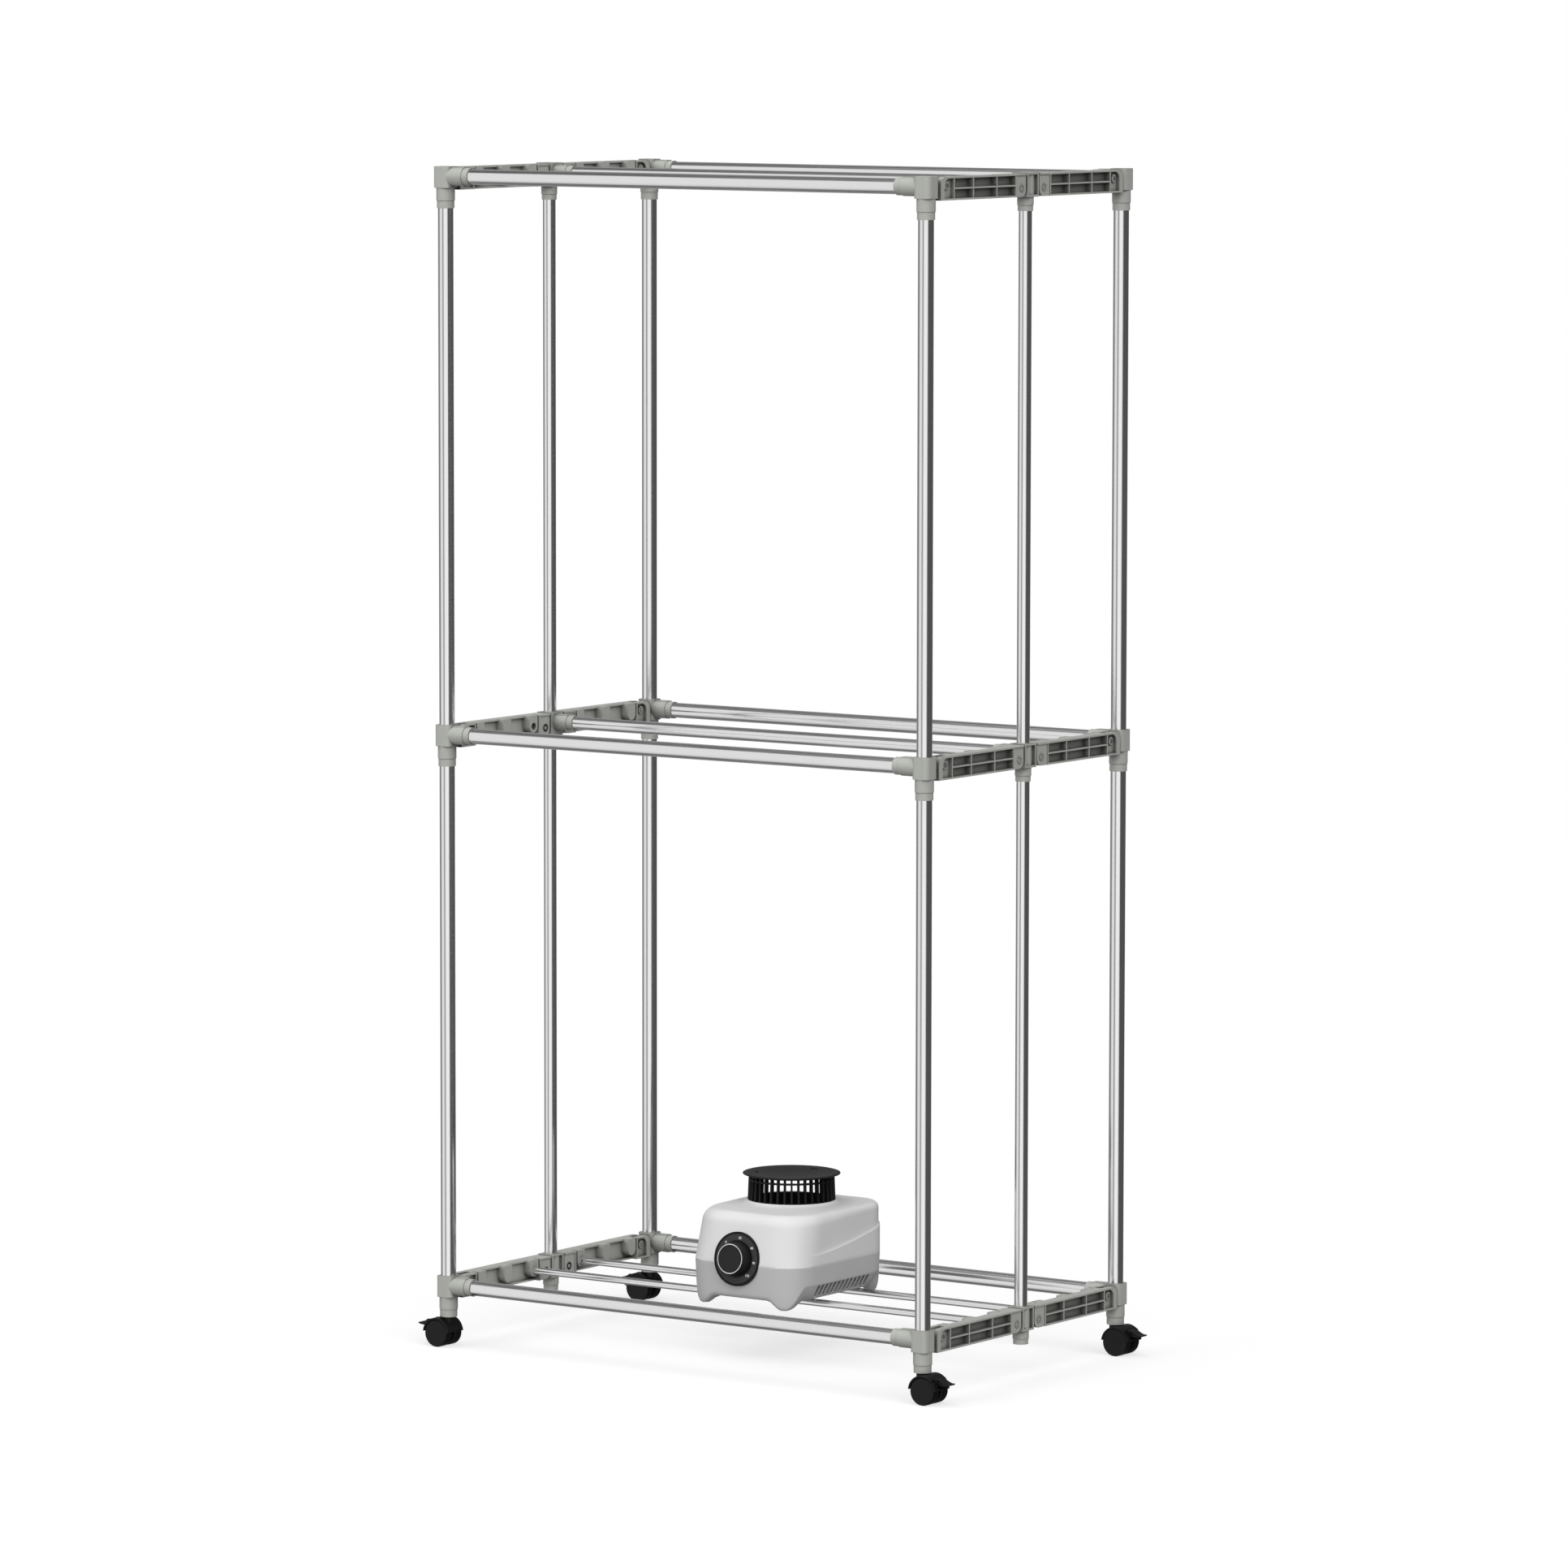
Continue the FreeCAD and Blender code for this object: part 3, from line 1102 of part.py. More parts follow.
fan_shaft = on_axis("fan_shaft", SHAFT_BOTTOM, FAN_BOTTOM, "motor_shaft / 2")
node("fan_impeller", fuse("impeller", swept, hub, fan_shaft))

element_radius = f"({DUCT_RADIUS} - outlet_fit)"
element_span = ("element_level", "element_level + element_height")
element_ring = cut("element_ring", on_axis("element_outside", *element_span, element_radius),
                   on_axis("element_inside", *element_span, f"{element_radius} - element_rim"))
bars = []
for index in range(int(size("element_bars"))):
    offset = f"({index} - (element_bars - 1) / 2) * ({DUCT_RADIUS} - element_rim) * 2 / element_bars"
    bars.append(box(f"element_bar_{index}", (f"heater_x - {OUTLET_RADIUS}", f"heater_x + {OUTLET_RADIUS}"),
                    (f"outlet_y + {offset} - element_bar / 2", f"outlet_y + {offset} + element_bar / 2"),
                    element_span))
element_core = common("element_core", fuse("element_bank", *bars),
                      on_axis("element_envelope", *element_span, element_radius))
node("heating_element", fuse("element", element_ring, element_core))


doc.recompute()
for obj in doc.Objects:
    if "Invalid" in obj.State or "Error" in obj.State:
        raise RuntimeError(f"{obj.Name} did not build: {obj.State}")
for obj in NODES:
    if obj.Shape.isNull() or not obj.Shape.isValid():
        raise RuntimeError(f"{obj.Label} is not a sound solid")
os.makedirs("parts", exist_ok=True)
for obj in NODES:
    obj.Shape.exportStep(f"parts/{obj.Label}.step")
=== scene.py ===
import math

import bmesh
import bpy
from mathutils import Matrix, Vector


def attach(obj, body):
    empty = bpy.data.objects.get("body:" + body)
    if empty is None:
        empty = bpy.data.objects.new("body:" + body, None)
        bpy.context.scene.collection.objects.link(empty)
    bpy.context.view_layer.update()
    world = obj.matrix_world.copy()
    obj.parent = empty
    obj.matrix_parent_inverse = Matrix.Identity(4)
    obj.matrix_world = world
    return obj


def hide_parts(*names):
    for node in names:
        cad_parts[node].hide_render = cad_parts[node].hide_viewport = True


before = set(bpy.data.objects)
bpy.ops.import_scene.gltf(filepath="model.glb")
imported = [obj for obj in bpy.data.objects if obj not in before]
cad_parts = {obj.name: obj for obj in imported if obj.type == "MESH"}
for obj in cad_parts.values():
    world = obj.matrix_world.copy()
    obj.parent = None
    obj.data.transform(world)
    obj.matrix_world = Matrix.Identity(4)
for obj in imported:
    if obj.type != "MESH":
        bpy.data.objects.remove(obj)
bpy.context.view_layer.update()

bl_info = {
    "name": "Heated clothes airer",
    "version": (1, 0, 0),
    "blender": (4, 5, 0),
    "location": "View3D > Sidebar > Airer",
    "description": "Dresses the folding airer and its fan heater with finishes and moulded detail",
    "category": "Object",
}

MM = 0.001
ENDS = ("front", "rear")
SIDES = ("right", "left")
LEVELS = ("bottom", "middle", "top")


# Finishes

NOISE_LOW = 0.3
NOISE_HIGH = 0.7
CLOUD_CHANGE = 0.03
CLOUD_SCALE = 9.0
MOULDED_SCALE = 1400.0
MOULDED_DEPTH = 0.00002
MOULDED_SPREAD = 0.05
DRAWN_SCALE = 900.0
DRAWN_DEPTH = 0.000002
DRAWN_STRETCH = 0.02
DRAWN_SPREAD = 0.02
# Painted shade: how ambient occlusion darkens the colour in deep corners and recesses of a moulding.
PAINTED_SHADE_FROM = 0.3
PAINTED_SHADE_TO = 0.9
PAINTED_SHADE_DARK = (0.20, 0.20, 0.20, 1)


def add_node(tree, kind, values=(), **traits):
    """A shader node with its traits and the values of its inputs."""
    node = tree.nodes.new("ShaderNode" + kind)
    for name, value in traits.items():
        setattr(node, name, value)
    for socket, value in dict(values).items():
        node.inputs[socket].default_value = value
    return node


def empty_finish(name):
    """A finish with nothing in it yet, and the socket its surface goes to."""
    material = bpy.data.materials.new(name)
    material.use_nodes = True
    tree = material.node_tree
    tree.nodes.clear()
    return tree, add_node(tree, "OutputMaterial").inputs["Surface"]


def new_finish(name):
    tree, surface = empty_finish(name)
    shader = add_node(tree, "BsdfPrincipled")
    tree.links.new(shader.outputs["BSDF"], surface)
    return tree, shader


def grain(tree, shader, scale, depth, stretch=(1, 1, 1), edge=0.0):
    """A fine moulded or drawn surface; edge softens the sharp corners of a moulding."""
    link = tree.links.new
    place = add_node(tree, "TexCoord")
    stretched = add_node(tree, "Mapping", {"Scale": stretch})
    noise = add_node(tree, "TexNoise", {"Scale": scale, "Detail": 3.0})
    bump = add_node(tree, "Bump", {"Strength": 1.0, "Distance": depth})
    link(place.outputs["Object"], stretched.inputs["Vector"])
    link(stretched.outputs["Vector"], noise.inputs["Vector"])
    link(noise.outputs["Fac"], bump.inputs["Height"])
    link(bump.outputs["Normal"], shader.inputs["Normal"])
    if edge:
        soft = add_node(tree, "Bevel", {"Radius": edge}, samples=4)
        link(soft.outputs["Normal"], bump.inputs["Normal"])
    return noise


def vary_roughness(tree, shader, noise, roughness, spread):
    """Let the roughness follow a noise a little either way."""
    values = {"From Min": NOISE_LOW, "From Max": NOISE_HIGH, "To Min": roughness - spread,
              "To Max": roughness + spread}
    between = add_node(tree, "MapRange", values)
    tree.links.new(noise.outputs["Fac"], between.inputs["Value"])
    tree.links.new(between.outputs["Result"], shader.inputs["Roughness"])


def cloud_colour(tree, shader, colour, painted_shade_distance):
    """A very slight lightening and darkening over a moulding, and painted shade in deep corners and recesses
    out to the given distance.
    """
    link = tree.links.new
    place = add_node(tree, "TexCoord")
    noise = add_node(tree, "TexNoise", {"Scale": CLOUD_SCALE, "Detail": 4.0})
    ramp = add_node(tree, "ValToRGB")
    first, last = ramp.color_ramp.elements
    first.position, last.position = NOISE_LOW, NOISE_HIGH
    first.color = [c * (1 - CLOUD_CHANGE) for c in colour[:3]] + [1]
    last.color = [c * (1 + CLOUD_CHANGE) for c in colour[:3]] + [1]
    link(place.outputs["Object"], noise.inputs["Vector"])
    link(noise.outputs["Fac"], ramp.inputs["Fac"])
    link(ramp.outputs["Color"], shader.inputs["Base Color"])
    # Painted shade: ambient occlusion darkens the base colour in deep corners and recesses.
    if painted_shade_distance:
        hollow = add_node(tree, "AmbientOcclusion", {"Distance": painted_shade_distance}, samples=8)
        depth = add_node(tree, "ValToRGB")
        first, last = depth.color_ramp.elements
        first.position, last.position = PAINTED_SHADE_FROM, PAINTED_SHADE_TO
        first.color = PAINTED_SHADE_DARK
        shaded = add_node(tree, "Mix", {0: 1.0}, data_type="RGBA", blend_type="MULTIPLY")
        link(hollow.outputs["AO"], depth.inputs["Fac"])
        link(ramp.outputs["Color"], shaded.inputs[6])
        link(depth.outputs["Color"], shaded.inputs[7])
        link(shaded.outputs[2], shader.inputs["Base Color"])


def moulded_plastic(name, colour, roughness, edge=0.0, shine=0.5, painted_shade_distance=0.0):
    tree, shader = new_finish(name)
    shader.inputs["Specular IOR Level"].default_value = shine
    cloud_colour(tree, shader, colour, painted_shade_distance)
    noise = grain(tree, shader, MOULDED_SCALE, MOULDED_DEPTH, edge=edge)
    vary_roughness(tree, shader, noise, roughness, MOULDED_SPREAD)


def drawn_metal(name, colour, roughness, along):
    """Bright drawn metal, with faint lines along its length."""
    tree, shader = new_finish(name)
    shader.inputs["Metallic"].default_value = 1.0
    shader.inputs["Base Color"].default_value = (*colour[:3], 1)
    stretch = [1.0, 1.0, 1.0]
    stretch["xyz".index(along)] = DRAWN_STRETCH
    noise = grain(tree, shader, DRAWN_SCALE, DRAWN_DEPTH, stretch=stretch)
    vary_roughness(tree, shader, noise, roughness, DRAWN_SPREAD)


def make_finishes(look):
    """Every finish of the airer, by the name its pieces ask for."""
    bright = look.chrome_colour
    drawn_metal("chrome_upright", bright, look.chrome_roughness, "z")
    drawn_metal("chrome_level", bright, look.chrome_roughness, "x")
    drawn_metal("bright_ring", (0.85, 0.85, 0.85), 0.2, "y")
    drawn_metal("pin_steel", (0.5, 0.5, 0.5), 0.3, "x")
    # The brackets and arms carry painted shade in their deep corners and recesses.
    moulded_plastic("bracket_grey", look.bracket_colour, 0.45, edge=look.moulded_edge,
                    painted_shade_distance=look.painted_shade_reach)
    moulded_plastic("shell_white", look.upper_colour, 0.4)
    moulded_plastic("shell_grey", look.lower_colour, 0.45)
    moulded_plastic("black_plastic", look.black_colour, 0.45, shine=0.25)
    moulded_plastic("black_tyre", look.tyre_colour, 0.5, shine=0.25)
    moulded_plastic("dial_black", look.dial_colour, 0.5, shine=0.12)
    moulded_plastic("knob_black", look.knob_colour, 0.42, shine=0.25)
    moulded_plastic("number_white", (0.8, 0.8, 0.8), 0.5)


def finish(name):
    return bpy.data.materials[name]


NODE_FINISH = {
    "post": "chrome_upright", "rail": "chrome_level", "rod": "chrome_level", "bracket": "bracket_grey",
    "arms": "bracket_grey", "pins": "pin_steel", "axle": "pin_steel", "wheels": "black_tyre",
    "upper_shell": "shell_white", "lower_shell": "shell_grey", "feet": "shell_grey", "dial": "dial_black",
    "timer_knob": "knob_black", "knob_ring": "bright_ring", "motor": "pin_steel", "element": "pin_steel",
}


def node_finish(name):
    for word, finish_name in NODE_FINISH.items():
        if word in name:
            return finish_name
    return "black_plastic"


# Mesh making, in millimetres of the shared frame


def smooth_step(value, low, high):
    t = min(1.0, max(0.0, (value - low) / (high - low)))
    return t * t * (3 - 2 * t)


def along_points(points, where):
    """The height of a line through points at a place between them."""
    if where <= points[0][0]:
        return points[0][1]
    for (x0, y0), (x1, y1) in zip(points, points[1:]):
        if where <= x1:
            return y0 + (y1 - y0) * (where - x0) / (x1 - x0)
    return points[-1][1]


def add_rows(bm, rows, closed=False):
    """Skin rows of points that all go round the same way; open rows get a flat end each."""
    loops = [[bm.verts.new(Vector(point) * MM) for point in row] for row in rows]
    count = len(loops[0])
    pairs = list(zip(loops, loops[1:]))
    if closed:
        pairs.append((loops[-1], loops[0]))
    for lower, upper in pairs:
        for index in range(count):
            following = (index + 1) % count
            bm.faces.new((lower[index], lower[following], upper[following], upper[index]))
    if not closed:
        bm.faces.new(list(reversed(loops[0])))
        bm.faces.new(loops[-1])


def add_lathe(bm, profile, place, segments=64, closed=False):
    """Turn a profile of (radius, height) about the place's z axis."""
    rows = []
    for radius, height in profile:
        row = []
        for index in range(segments):
            angle = 2 * math.pi * index / segments
            row.append(place @ Vector((radius * math.cos(angle), radius * math.sin(angle), height)))
        rows.append(row)
    add_rows(bm, rows, closed)


def add_block(bm, low, high, rounding, place):
    """A block between two corners with all its edges rounded."""
    block = bmesh.new()
    size = Vector(high) - Vector(low)
    middle = (Vector(high) + Vector(low)) / 2
    bmesh.ops.create_cube(block, size=1.0, matrix=Matrix.Translation(middle) @ Matrix.Diagonal((*size, 1)))
    bmesh.ops.bevel(block, geom=block.edges[:], offset=rounding, segments=2, profile=0.5, affect="EDGES")
    bmesh.ops.transform(block, matrix=Matrix.Scale(MM, 4) @ place, verts=block.verts)
    merge(bm, block)


def merge(bm, other):
    mesh = bpy.data.meshes.new("merge")
    other.to_mesh(mesh)
    other.free()
    bm.from_mesh(mesh)
    bpy.data.meshes.remove(mesh)


def show(name, data):
    """Put new data into the scene as an object."""
    thing = bpy.data.objects.new(name, data)
    bpy.context.scene.collection.objects.link(thing)
    return thing


def new_piece(name, bm, finish_name, sharp=35):
    bmesh.ops.recalc_face_normals(bm, faces=bm.faces)
    mesh = bpy.data.meshes.new(name)
    bm.to_mesh(mesh)
    bm.free()
    piece = show(name, mesh)
    mesh.materials.append(finish(finish_name))
    smooth(piece, sharp)
    return piece


def smooth(piece, sharp):
    mesh = piece.data
    mesh.polygons.foreach_set("use_smooth", [True] * len(mesh.polygons))
    mesh.set_sharp_from_angle(angle=math.radians(sharp))


def combine(piece, cutter_bm, operation="DIFFERENCE", sharp=35):
    """Cut a shape out of a piece, or join it on, and keep the result as the piece's mesh."""
    bmesh.ops.recalc_face_normals(cutter_bm, faces=cutter_bm.faces)
    mesh = bpy.data.meshes.new("cutter")
    cutter_bm.to_mesh(mesh)
    cutter_bm.free()
    cutter = show("cutter", mesh)
    change = piece.modifiers.new("change", "BOOLEAN")
    change.operation = operation
    change.solver = "EXACT"
    change.object = cutter
    bpy.context.view_layer.update()
    graph = bpy.context.evaluated_depsgraph_get()
    result = bpy.data.meshes.new_from_object(piece.evaluated_get(graph))
    piece.modifiers.clear()
    former = piece.data
    piece.data = result
    bpy.data.meshes.remove(former)
    bpy.data.objects.remove(cutter)
    bpy.data.meshes.remove(mesh)
    if not result.polygons:
        raise RuntimeError(f"{piece.name} lost its surface")
    smooth(piece, sharp)


def seat(piece, body, slot, *nodes):
    """Let a piece ride on a body and stand for CAD nodes; the slot is not used."""
    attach(piece, body)
    if nodes:
        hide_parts(*nodes)


# Heater

HEATER_X = 10.0
HALF_WIDTH = 87.0
HALF_LENGTH = 105.0
SEAM = 122.0
BELLY = 79.8
CORNER = 42.0
OUTLET = (0.0, 8.0)
OUTLET_RADIUS = 54.5
CORNER_STEPS = 14
LONG_STEPS = 22
SHORT_STEPS = 16
CREASE = ((-97, 136), (-50, 136.5), (-19, 139.5), (11, 143.4), (42, 148.6), (75, 154.6), (105, 160))
CREASE_FADE = (-88, -35)
CREASE_RISE = 5.5
FRONT_FADE = (-100, 60)
LEAST_CORNER = 6.0
GROWTH_HEIGHT = 50
SHOULDER_TURN = math.radians(70)
CROWN_SLOPE = 0.45
CROWN_FLARE = 0.55
CROWN_POWER = 12
SHELL_WALL = 2.6
FRONT_FOOT = (41, 62)
SIDE_FOOT = (79, 100)
LOWER_DRAFT = 2.0
OUTLET_WALL = 3.0
OUTLET_TAPER = 1.2
OUTLET_SEGMENTS = 152
DUCT_DEPTH = 58
BAND_HALF = 1.2
RIB_PROUD = 0.35
NOTCH_TURNS = (85, 205, 325)
DIAL_RIM = 2.6
DIAL_WELL = 23.0
DIAL_NUMBERS = (("0", -43), ("30", 6), ("60", 55), ("90", 97), ("120", 138))
NUMBER_REACH = 0.78
NUMBER_SHARE = 0.7
NUMBER_THICKNESS = 0.00012
NUMBER_WEIGHT = 0.00008


def casing_ring(side, front, back, front_corner, corner):
    """The casing's outline at one level, counted from the front right corner, seen from above."""
    a = HALF_WIDTH - side
    y_front = front - HALF_LENGTH
    y_back = HALF_LENGTH - back
    corners = (
        (a - front_corner, y_front + front_corner, front_corner, -90),
        (a - corner, y_back - corner, corner, 0),
        (corner - a, y_back - corner, corner, 90),
        (front_corner - a, y_front + front_corner, front_corner, 180),
    )
    arcs = []
    for u, v, radius, start in corners:
        arc = []
        for step in range(CORNER_STEPS + 1):
            angle = math.radians(start + 90 * step / CORNER_STEPS)
            arc.append((u + radius * math.cos(angle), v + radius * math.sin(angle)))
        arcs.append(arc)
    points = []
    for index, steps in enumerate((LONG_STEPS, SHORT_STEPS, LONG_STEPS, SHORT_STEPS)):
        arc, following = arcs[index], arcs[(index + 1) % 4]
        points += arc
        (x0, y0), (x1, y1) = arc[-1], following[0]
        for step in range(1, steps):
            t = step / steps
            points.append((x0 + (x1 - x0) * t, y0 + (y1 - y0) * t))
    return points


def lean_at(z, lean):
    return (z - SEAM) * math.tan(lean)


def row_from(insets, heights, front_lean=0.0, growth=0.0, back=1.0):
    """One row round the casing whose inset and height change from point to point."""
    cache = {}
    row = []
    for index, (inset, z) in enumerate(zip(insets, heights)):
        key = (round(inset, 4), round(z, 4))
        if key not in cache:
            rise = max(0.0, z - SEAM)
            rounding = CORNER - inset / 2
            cache[key] = casing_ring(inset, lean_at(SEAM + rise, front_lean) + inset, inset * back,
                                     max(LEAST_CORNER, rounding + growth * rise / GROWTH_HEIGHT),
                                     max(LEAST_CORNER, rounding))
        x, y = cache[key][index]
        row.append((x + HEATER_X, y, z))
    return row


def make_upper_shell(heater):
    lean = heater.front_lean
    step = heater.crease_step / MM
    base = casing_ring(0, 0, 0, CORNER, CORNER)
    count = len(base)
    crease = [along_points(CREASE, y) for x, y in base]
    fade = [smooth_step(y, *CREASE_FADE) for x, y in base]
    growth = heater.front_corner_growth / MM
    rows = []

    def level(insets, heights):
        rows.append(row_from(insets, heights, lean, growth, back=0.5))

    def even(inset, z):
        level([inset] * count, [z] * count)

    at_front = [1 - smooth_step(y, *FRONT_FADE) for x, y in base]
    radius = heater.shoulder_radius / MM
    radii = [radius + (heater.front_shoulder_radius / MM - radius) * f for f in at_front]
    top = heater.shoulder_start / MM + radius * math.sin(SHOULDER_TURN)
    starts = [top - r * math.sin(SHOULDER_TURN) for r in radii]

    def sides(heights, stepped):
        """The sides step in at the crease, and the front draws in evenly instead."""
        level([f * step * stepped + (1 - f) * step * (z - SEAM) / (start - SEAM)
               for f, z, start in zip(fade, heights, starts)], heights)

    even(0.3, SEAM)
    for share in (0.03, 0.2, 0.45, 0.7, 0.93, 1.0):
        sides([SEAM + (c - SEAM) * share for c in crease], 0)
    for rise, share in ((0.5, 0.28), (1.6, 0.6), (3.4, 0.88), (CREASE_RISE, 1.0)):
        sides([c + rise for c in crease], share)
    for share in (0.2, 0.45, 0.7, 0.87, 1.0):
        sides([c + CREASE_RISE + (start - c - CREASE_RISE) * share for c, start in zip(crease, starts)], 1)
    for share in (0.14, 0.28, 0.42, 0.56, 0.7, 0.85, 1.0):
        turn = SHOULDER_TURN * share
        level([step + r * (1 - math.cos(turn)) for r in radii],
              [start + r * math.sin(turn) for r, start in zip(radii, starts)])
    edge = rows[-1]
    collar = heater.collar_height / MM
    lip = OUTLET_RADIUS + 0.9

    def outlet_point(x, y, reach):
        dx, dy = x - HEATER_X - OUTLET[0], y - OUTLET[1]
        far = math.hypot(dx, dy)
        return (HEATER_X + OUTLET[0] + dx * reach / far, OUTLET[1] + dy * reach / far)

    for t in (0.1, 0.22, 0.36, 0.5, 0.63, 0.75, 0.83, 0.89, 0.94, 0.975, 1.0):
        rise = (collar - top) * (CROWN_SLOPE * t + CROWN_FLARE * t ** CROWN_POWER)
        row = []
        for x, y, _ in edge:
            u, v = outlet_point(x, y, lip)
            row.append((x + (u - x) * t, y + (v - y) * t, top + rise))
        rows.append(row)
    bore = OUTLET_RADIUS + 0.2
    for reach, z in ((lip - 0.6, collar - 0.1), (bore, collar - 0.7), (bore, collar - 6)):
        rows.append([(*outlet_point(x, y, reach), z) for x, y, _ in edge])
    even(step + 18, top - 4)
    even(step + 3.2, min(starts) - 4)
    even(SHELL_WALL, SEAM)
    bm = bmesh.new()
    add_rows(bm, rows, closed=True)
    piece = new_piece("upper_shell", bm, "shell_white", 40)
    combine(piece, dial_cutter(heater), sharp=40)
    seat(piece, "heater", "shell_light", "heater_upper_shell")


def make_lower_shell(heater):
    base = casing_ring(0, 0, 0, CORNER, CORNER)
    foot_share = []
    side_share = []
    for x, y in base:
        front_foot = smooth_step(abs(x), *FRONT_FOOT)
        side_foot = smooth_step(abs(y), *SIDE_FOOT)
        foot_share.append(front_foot * side_foot)
        side_share.append(front_foot * (1 - side_foot))
    foot = heater.foot_depth / MM

    def blend(front, foot_value, side):
        return [front + (foot_value - front) * f + (side - front) * s for f, s in zip(foot_share, side_share)]

    def drafted(heights, insets):
        return [inset + LOWER_DRAFT * (SEAM - z) / (SEAM - BELLY + foot) for inset, z in zip(insets, heights)]

    rows = []

    def level(insets, heights):
        rows.append(row_from(drafted(heights, insets), heights))

    count = len(base)

    def even(inset, z):
        rows.append(row_from([inset] * count, [z] * count))

    low = BELLY - foot
    cove = heater.cove_height / MM
    even(22, BELLY + 2.0)
    even(12.7, BELLY + 2.4)
    even(8.0, BELLY + cove * 0.55)
    even(3.0, BELLY + cove + 0.2)
    even(SHELL_WALL, SEAM - 0.2)
    painted_shade_rows = len(rows) - 1
    even(3.0, SEAM - 0.02)
    even(0.3, SEAM - 0.02)
    even(0.0, SEAM - 0.3)
    even(0.0, SEAM - 1.2)
    for share in (0.25, 0.5, 0.75, 0.93):
        level([0] * count, [SEAM - 1.2 + (z - SEAM + 1.2) * share
                            for z in blend(BELLY + 5.2, low + 3.0, BELLY + cove + 1.5)])
    level([0] * count, blend(BELLY + 5.2, low + 3.0, BELLY + cove + 1.5))
    level(blend(0.8, 0.5, 0.5), blend(BELLY + 2.4, low + 1.2, BELLY + cove - 0.3))
    level(blend(2.4, 1.5, 5.0), blend(BELLY + 0.6, low + 0.3, BELLY + cove * 0.52))
    level(blend(5.0, 3.0, 9.2), blend(BELLY, low, BELLY + 0.9))
    level(blend(10, 6.5, 11.0), blend(BELLY, low, BELLY))
    level(blend(16, 10.5, 19), blend(BELLY, BELLY - 1.0, BELLY))
    even(24, BELLY)
    bm = bmesh.new()
    add_rows(bm, rows)
    piece = new_piece("lower_shell", bm, "shell_grey", 40)
    # The inside wall takes black plastic as painted shade, so that the vent slots look dark.
    piece.data.materials.append(finish("black_plastic"))
    for face in piece.data.polygons[:painted_shade_rows * count]:
        face.material_index = 1
    combine(piece, dial_cutter(heater), sharp=40)
    combine(piece, vent_cutter(heater), sharp=40)
    seat(piece, "heater", "shell_mid", "heater_lower_shell", "heater_feet")


def vent_cutter(heater):
    """Thin slots through the coves on both sides."""
    bm = bmesh.new()
    cove = heater.cove_height / MM
    pitch = heater.vent_pitch / MM
    half = heater.vent_width / MM / 2
    for side in (-1, 1):
        for index in range(heater.vent_count):
            y = (index - (heater.vent_count - 1) / 2) * pitch
            corners = []
            for inset, z in ((17.0, BELLY + 5.6), (8.0, BELLY + 1.8), (-1.5, BELLY + cove - 2.0),
                             (9.0, BELLY + cove + 2.5)):
                corners.append((HEATER_X + side * (HALF_WIDTH - inset), z))
            rows = [[(x, y + shift, z) for x, z in corners] for shift in (-half, half)]
            add_rows(bm, rows)
    return bm


def dial_place(heater):
    """The dial's own frame: z out of its face, y up the leaning front."""
    x, z = heater.dial_x / MM, heater.dial_z / MM
    y = lean_at(z, heater.front_lean) - HALF_LENGTH - heater.dial_proud / MM
    tilt = Matrix.Rotation(math.radians(90) - heater.front_lean, 4, "X")
    return Matrix.Translation((x, y, z)) @ tilt


def dial_cutter(heater):
    bm = bmesh.new()
    radius = heater.dial_diameter / MM / 2 + 0.2
    add_lathe(bm, ((radius, -18), (radius, 14)), dial_place(heater), 96)
    return bm


def make_outlet(heater):
    place = Matrix.Translation((HEATER_X + OUTLET[0], OUTLET[1], 0))
    top = heater.outlet_top / MM
    base = heater.collar_height / MM
    bm = bmesh.new()
    outer, inner = OUTLET_RADIUS, OUTLET_RADIUS - OUTLET_WALL

    def band(low, high):
        lean = OUTLET_TAPER * (low - base) / (top - base)
        face = outer - lean
        add_lathe(bm, ((face, low + 0.4), (face - 0.1, high - 0.4), (face - 0.5, high), (inner - lean, high),
                       (inner - lean, low), (face - 0.5, low)), place, OUTLET_SEGMENTS, closed=True)

    add_lathe(bm, ((outer, base - DUCT_DEPTH), (outer, base), (outer - 0.6, base + 0.6), (inner, base + 0.6),
                   (inner, base - DUCT_DEPTH)), place, OUTLET_SEGMENTS, closed=True)
    middle = heater.window_ring / MM
    band(middle - BAND_HALF, middle + BAND_HALF)
    band(top - BAND_HALF, top)
    count = heater.rib_count
    pitch = 2 * math.pi * (OUTLET_RADIUS - OUTLET_TAPER) / count
    rib = pitch - heater.window_width / MM
    for index in range(count):
        turn = place @ Matrix.Rotation(2 * math.pi * (index + 0.5) / count + heater.rib_turn, 4, "Z")
        lean = Matrix.Rotation(-math.atan2(OUTLET_TAPER, top - base), 4, "Y")
        foot = turn @ Matrix.Translation((outer, 0, base)) @ lean
        add_block(bm, (-heater.rib_depth / MM, -rib / 2, -1.0), (RIB_PROUD, rib / 2, top - base - 0.2), 0.5,
                  foot)
    piece = new_piece("outlet_grille", bm, "black_plastic", 40)
    seat(piece, "heater", "outlet_black", "outlet_grille")


